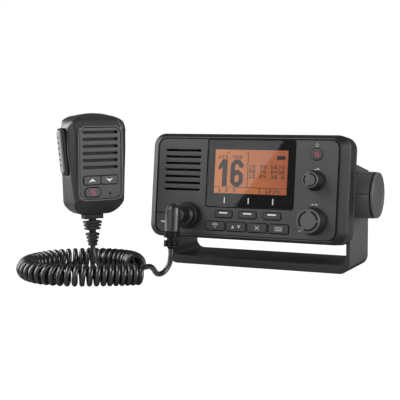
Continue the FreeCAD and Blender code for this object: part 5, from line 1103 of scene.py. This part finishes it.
# ------------------------------------------------------------------ microphone
class RADIO_OT_mic_body(Step, bpy.types.Operator):
    """The microphone's two shells and its front panel"""
    bl_idname = "radio.mic_body"
    bl_label = "Microphone body"

    def make(self):
        def outer(point):
            x, y, z = MIC.inverted() @ point
            return y < -4 and (abs(x) > 19.0 or z > 119.0 or z < 60.8)

        dressed("mic_front", "mic_front_shell", "moulded_abs", "mic", "mic_plastic",
                1.0, 28, outer, 1.6 * MM, 11)
        dressed("mic_back", "mic_back_shell", "moulded_abs", "mic", "mic_plastic")
        dressed("mic_panel", "mic_face_panel", "textured_abs", "mic", "panel_plastic", 0.6)
        repaint(mic_speaker="woven_mesh", mic_capsule="plated_steel", mic_board="epoxy_board",
                mic_screws="turned_stainless", mic_hang_button="turned_stainless",
                mic_ptt_seal="black_rubber")
        inked("mic_cloth", [box_outline(-16.2, 16.2, 85.5, 115.8)], -12.0, MIC, "woven_mesh",
              "mic", thickness=0.08)
        self.rim()
        # black discs where the sound holes are: painted shade of the holes' hollows
        hole_shade = grown(row_tree, "black_rubber", Count=6, Step=(0, MIC_SLOT_STEP, 0), Sides=24,
                      Radius=1.0, Height=0.2, Shape=(1, 1, 1))
        hole_shade = moved(hole_shade, facing_front(13.9, -12.1, MIC_SLOT_LOW))
        piece("mic_sound_hole_shade", mesh_from(hole_shade, "mic_sound_hole_shade", MIC), "black_rubber", "mic")

    def rim(self):
        """A dark joint round the front panel and a fine raised lip outside it, pale grey as a
        painted highlight line.
        """
        joint_lines("mic_panel_joint", ["mic_face_panel"], MIC, front=-13.9, y=-14.02,
                    body="mic")
        # the raised lip is real; its pale grey is a painted highlight line
        loop = outline_of(["mic_face_panel"], MIC, -13.9)
        inked("mic_panel_lip", ribbon(outset(loop, 1.0), 0.55, True), -14.2, MIC,
              "painted_light_grey", "mic", thickness=0.38)


class RADIO_OT_mic_keys(Step, bpy.types.Operator):
    """The microphone's keys with their marks, and the talk key with black discs as painted shade of
    its grip dimples
    """
    bl_idname = "radio.mic_keys"
    bl_label = "Microphone keys"

    def make(self):
        for node, x, way in (("mic_up_key", -7.6, 1), ("mic_down_key", 7.6, -1)):
            arrow = [((x, 76.5 + 1.5 * way), (x + 3.1 * side, 76.5 - 1.3 * way),
                      (x, 76.5 - 0.5 * way)) for side in (-1, 1)]
            rubber_key(node, node, arrow, MIC_KEY_PRINT, MIC, "white_ink")
        joint_lines("mic_key_joints", ["mic_up_key", "mic_down_key", "mic_channel_key"], MIC,
                    front=-14.3, y=MIC_FACE, body="mic")
        rubber_key("mic_channel", "mic_channel_key", small_sixteen(-7.2, 67.1, 4.8, 0.7),
                   MIC_KEY_PRINT, MIC, "red_ink")
        self.talk_key()

    def talk_key(self):
        """A softly rounded key with six black discs down its outer face, painted shade for its grip
        dimples.
        """
        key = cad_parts["mic_ptt_button"].data
        shape = BVHTree.FromPolygons([v.co for v in key.vertices],
                                     [p.vertices[:] for p in key.polygons])
        hits = [shape.ray_cast(MIC @ Vector((-60, 1.8, z)), towards(MIC, 1, 0, 0))[0]
                for z in (88.5, 110.5)]
        low, high = (MIC.inverted() @ hit for hit in hits)
        slant = (high.x - low.x) / (high.z - low.z)

        def outer(point):
            x, _, z = MIC.inverted() @ point
            return x < low.x + slant * (z - low.z) + 0.5

        piece("talk_key", softened("mic_ptt_button", 0.2 * MM, 40, outer, 1.2 * MM, 40),
              "grey_elastomer", "mic_ptt_button", ["mic_ptt_button"])
        # black discs stand for the dimples: painted shade of their hollows
        sideways = rotation(-90, "Y")
        step = sideways.to_3x3().inverted() @ (high - low) / 5
        row = grown(row_tree, "black_rubber", Count=6, Step=tuple(step), Sides=20, Radius=1.0,
                    Height=0.24, Shape=(0.62, 1.5, 1.0))
        row = moved(row, Matrix.Translation(low) @ sideways)
        piece("talk_key_dimple_shade", mesh_from(row, "talk_key_dimple_shade", MIC), "black_rubber",
              "mic_ptt_button")


class RADIO_OT_mic_boot(Step, bpy.types.Operator):
    """The microphone's ribbed strain relief"""
    bl_idname = "radio.mic_boot"
    bl_label = "Microphone strain relief"

    def make(self):
        parts = [turned([(0.4, MIC_BOOT_END), (2.5, MIC_BOOT_END), (2.6, 22.8), (3.2, 48.2),
                         (3.2, 48.5), (0.4, 48.5)], 32)]
        for count, top, step, wide, deep, tall, growth in (
                (1, 46.55, 0.0, 8.35, 3.5, 3.9, 0.0), (3, 41.8, 2.62, 6.95, 3.5, 2.1, -0.068),
                (1, 39.2, 0.0, 4.6, 2.9, 7.0, 0.0), (4, 31.95, 2.76, 4.7, 3.5, 2.25, -0.1),
                (1, 27.8, 0.0, 2.7, 2.8, 10.0, 0.0)):
            blocks = grown(row_tree, "soft_touch_elastomer", Count=count, Start=(0, 0, top),
                           Step=(0, 0, -step), Sides=4, Radius=math.sqrt(2), Height=tall,
                           Shape=(wide, deep, 1.0), Turn=(0, 0, math.pi / 4), Growth=growth)
            parts.append(rounded(blocks, 0.35, 60))
        boot = moved(joined(*parts), shift(MIC_BOOT_X, 0, 0))
        piece("mic_strain_relief", mesh_from(boot, "mic_strain_relief", MIC),
              "soft_touch_elastomer", "mic", ["mic_boot"])


# ------------------------------------------------------------------ bracket
class RADIO_OT_bracket(Step, bpy.types.Operator):
    """The bracket and its two clamping knobs"""
    bl_idname = "radio.bracket"
    bl_label = "Bracket and knobs"

    def make(self):
        dressed("bracket_frame", "bracket", "glass_filled_nylon", "bracket", "bracket_plastic",
                1.5)
        self.knob("bracket_knob_right", 81.5, 17.7, 1)
        self.knob("bracket_knob_left", -81.5, 14.6, -1)
        repaint(knob_stud_left="turned_stainless", knob_stud_right="turned_stainless")

    def knob(self, node, x, tall, way):
        """A round grip with a groove behind its rim, painted black as painted shade, and a dished
        face.
        """
        profile = [(6.0, 0.0), (17.4, 0.0), (18.4, 0.4), (19.0, 1.2), (19.1, 2.4),
                   (18.75, tall - 3.6), (18.7, tall - 3.4), (17.9, tall - 3.2),
                   (17.9, tall - 2.5), (18.6, tall - 2.3), (18.5, tall - 0.9),
                   (18.0, tall - 0.25), (17.2, tall), (15.6, tall), (14.9, tall - 0.3),
                   (14.4, tall - 1.0), (9.0, tall - 1.5), (0.6, tall - 1.7)]
        grip_side = (3, 4, 5)

        def fluted(number, angle, radius, height):
            if number in grip_side:
                turn = math.degrees(angle) % 60 - 30
                return radius - 0.8 * math.exp(-(turn / 1.6) ** 2), height
            return radius, height

        bm = moved(turned(profile, 180, fluted), shift(x, 0, 0) @ rotation(90 * way, "Y"))
        body = node.replace("bracket_knob_", "") + "_bracket_knob"
        made = piece(node + "_grip", mesh_from(bm, node, RADIO), "knob_nylon", body,
                     [node], sharp=30)
        for finish in ("black_rubber", "silicone_rubber"):
            made.data.materials.append(MATERIALS[finish])
        # the groove's faces are painted black as painted shade; the dished face takes a darker
        # rubber grey
        for face in made.data.polygons:
            height = abs((RADIO.inverted() @ face.center).x) - abs(x)
            if tall - 3.45 < height < tall - 2.25:
                face.material_index = 1
            elif height > tall - 1.72 and abs(face.normal.x) > 0.9:
                face.material_index = 2


# ------------------------------------------------------------------ stage
class RADIO_OT_stage(Step, bpy.types.Operator):
    """Camera, floor and lamps"""
    bl_idname = "radio.stage"
    bl_label = "Stage"

    def make(self):
        scene = bpy.context.scene
        self.camera(scene)
        self.floor()
        self.world(scene)
        self.lamps()
        scene.view_settings.view_transform = "Standard"

    def camera(self, scene):
        back = direction(CAMERA_AZIMUTH, CAMERA_ELEVATION)
        roll = math.radians(CAMERA_ROLL)
        right = (-back).cross(Vector((0, 0, 1))).normalized()
        up = right.cross(-back)
        across = right * math.cos(roll) + up * math.sin(roll)
        upward = up * math.cos(roll) - right * math.sin(roll)
        data = bpy.data.cameras.new("camera")
        data.lens = CAMERA_LENS
        data.sensor_width = 36
        made = linked("camera", data)
        made.matrix_world = (Matrix.Translation(CAMERA_AT)
                             @ Matrix((across, upward, back)).transposed().to_4x4())
        scene.camera = made

    def floor(self):
        mesh = bpy.data.meshes.new("floor")
        mesh.from_pydata([(x * FLOOR_HALF, y * FLOOR_HALF, 0)
                          for x, y in ((-1, -1), (1, -1), (1, 1), (-1, 1))],
                         [], [(0, 1, 2, 3)])
        made = bpy.data.materials.new("white_floor")
        made.use_nodes = True
        tree = made.node_tree
        tree.nodes.remove(tree.nodes["Principled BSDF"])
        matt = add(tree, "BsdfDiffuse", {"Color": linear("#B4B4B4")})
        glow = add(tree, "Emission", {"Strength": 1.24})
        path = add(tree, "LightPath")
        share = add(tree, "Math", {"operation": "MULTIPLY", 1: 0.82}, {0: path})
        mix = add(tree, "MixShader", links={0: share, 1: matt, 2: glow})
        join(tree, mix, tree.nodes["Material Output"].inputs["Surface"])
        mesh.materials.append(made)
        linked("floor", mesh)

    def world(self, scene):
        """White to the eye; as light, a soft glow from above that falls off to the sides."""
        world = bpy.data.worlds.new("studio")
        world.use_nodes = True
        tree = world.node_tree
        base = tree.nodes["Background"]
        base.inputs["Color"].default_value = (1, 1, 1, 1)
        where = add(tree, "TexCoord")
        apart = add(tree, "SeparateXYZ", links={0: where.outputs["Generated"]})
        high = add(tree, "MapRange", {
            "interpolation_type": "SMOOTHSTEP", "From Min": 0.15, "From Max": 0.95,
            "To Min": 0.10, "To Max": 0.14}, {"Value": apart.outputs["Z"]})
        path = add(tree, "LightPath")
        seen = add(tree, "Math", {"operation": "MAXIMUM"}, {0: path, 1: high})
        join(tree, seen, base.inputs["Strength"])
        scene.world = world

    def lamp(self, name, azimuth, elevation, size, radiance):
        """A square soft box of a plain radiance, placed by its direction from the object."""
        way = direction(azimuth, elevation)
        self.box(name, Vector((0, -0.05, 0.05)) + way * LAMP_DISTANCE,
                 way.to_track_quat("Z", "Y").to_matrix(), size, size, radiance)

    def box(self, name, centre, facing, wide, tall, radiance):
        data = bpy.data.lights.new(name, "AREA")
        data.shape = "RECTANGLE"
        data.size = wide
        data.size_y = tall
        data.energy = radiance * math.pi * wide * tall
        made = linked(name, data)
        made.matrix_world = Matrix.Translation(centre) @ facing.to_4x4()
        made.visible_camera = False

    def lamps(self):
        # high at the front left: shapes the knobs and throws their shadows down to the right
        self.lamp("key", -42, 46, 0.55, 7.4)
        # near the eye, low: lights the faces evenly
        self.lamp("front_box", 46, 16, 0.7, 0.8)
        self.lamp("fill", -7, 9, 0.34, 3.5)
        # wide boxes on both sides: long bright bands down the round and upright forms
        self.lamp("left_box", -84, 14, 1.1, 5.5)
        self.lamp("right_box", 94, 10, 1.2, 6.0)
        # behind and above, for the top edges
        self.lamp("top", 175, 45, 0.8, 0.2)
        self.glare()

    def glare(self):
        """A low soft box at the front left whose edge is mirrored across the window."""
        distance, wide, tall = 1.1, 0.9, 1.0
        normal = towards(RADIO, 0, -1, 0)

        def mirrored(x, z):
            """A point of the front, and the way that the camera's sight line leaves it."""
            spot = RADIO @ Vector((x, FACE, z))
            ray = (spot - CAMERA_AT).normalized()
            return spot, ray - 2 * ray.dot(normal) * normal

        middle, ahead = mirrored(12.0, 12.0)

        def landing(x, z):
            """Where the sight line mirrored at a point of the front meets the box."""
            spot, ray = mirrored(x, z)
            return spot + ray * ((distance - (spot - middle).dot(ahead)) / ray.dot(ahead))

        top, foot = landing(32.5, 39.7), landing(-8.3, -15.7)
        leftward = (top - foot).normalized().cross(ahead).normalized()
        if (landing(-32.0, 12.0) - top).dot(leftward) < 0:
            leftward = -leftward
        self.box("glare", (top + foot) / 2 + leftward * wide / 2,
                 Matrix((leftward, ahead.cross(leftward), ahead)).transposed(), wide, tall, 0.85)


class RADIO_PT_panel(bpy.types.Panel):
    bl_label = "Marine radio"
    bl_idname = "RADIO_PT_panel"
    bl_space_type = "VIEW_3D"
    bl_region_type = "UI"
    bl_category = "Radio"

    def draw(self, context):
        for group in (context.scene.radio_finish, context.scene.radio_sizes):
            for name in group.__annotations__:
                self.layout.prop(group, name)
        for step in STEPS:
            self.layout.operator(step.bl_idname)


STEPS = (RADIO_OT_stage, RADIO_OT_cord, RADIO_OT_casing, RADIO_OT_display, RADIO_OT_keys,
         RADIO_OT_knobs, RADIO_OT_plug, RADIO_OT_back, RADIO_OT_mic_body, RADIO_OT_mic_keys,
         RADIO_OT_mic_boot, RADIO_OT_bracket)
CLASSES = (FinishSettings, SizeSettings) + STEPS + (RADIO_PT_panel,)


def register():
    for item in CLASSES:
        bpy.utils.register_class(item)
    bpy.types.Scene.radio_finish = PointerProperty(type=FinishSettings)
    bpy.types.Scene.radio_sizes = PointerProperty(type=SizeSettings)


def unregister():
    del bpy.types.Scene.radio_sizes
    del bpy.types.Scene.radio_finish
    for item in reversed(CLASSES):
        bpy.utils.unregister_class(item)


def main():
    register()
    make_materials()
    bpy.ops.radio.stage()
    bpy.ops.radio.cord()
    bpy.ops.radio.casing()
    bpy.ops.radio.display()
    bpy.ops.radio.keys()
    bpy.ops.radio.knobs()
    bpy.ops.radio.plug()
    bpy.ops.radio.back()
    bpy.ops.radio.mic_body()
    bpy.ops.radio.mic_keys()
    bpy.ops.radio.mic_boot()
    bpy.ops.radio.bracket()


if __name__ == "__main__":
    main()
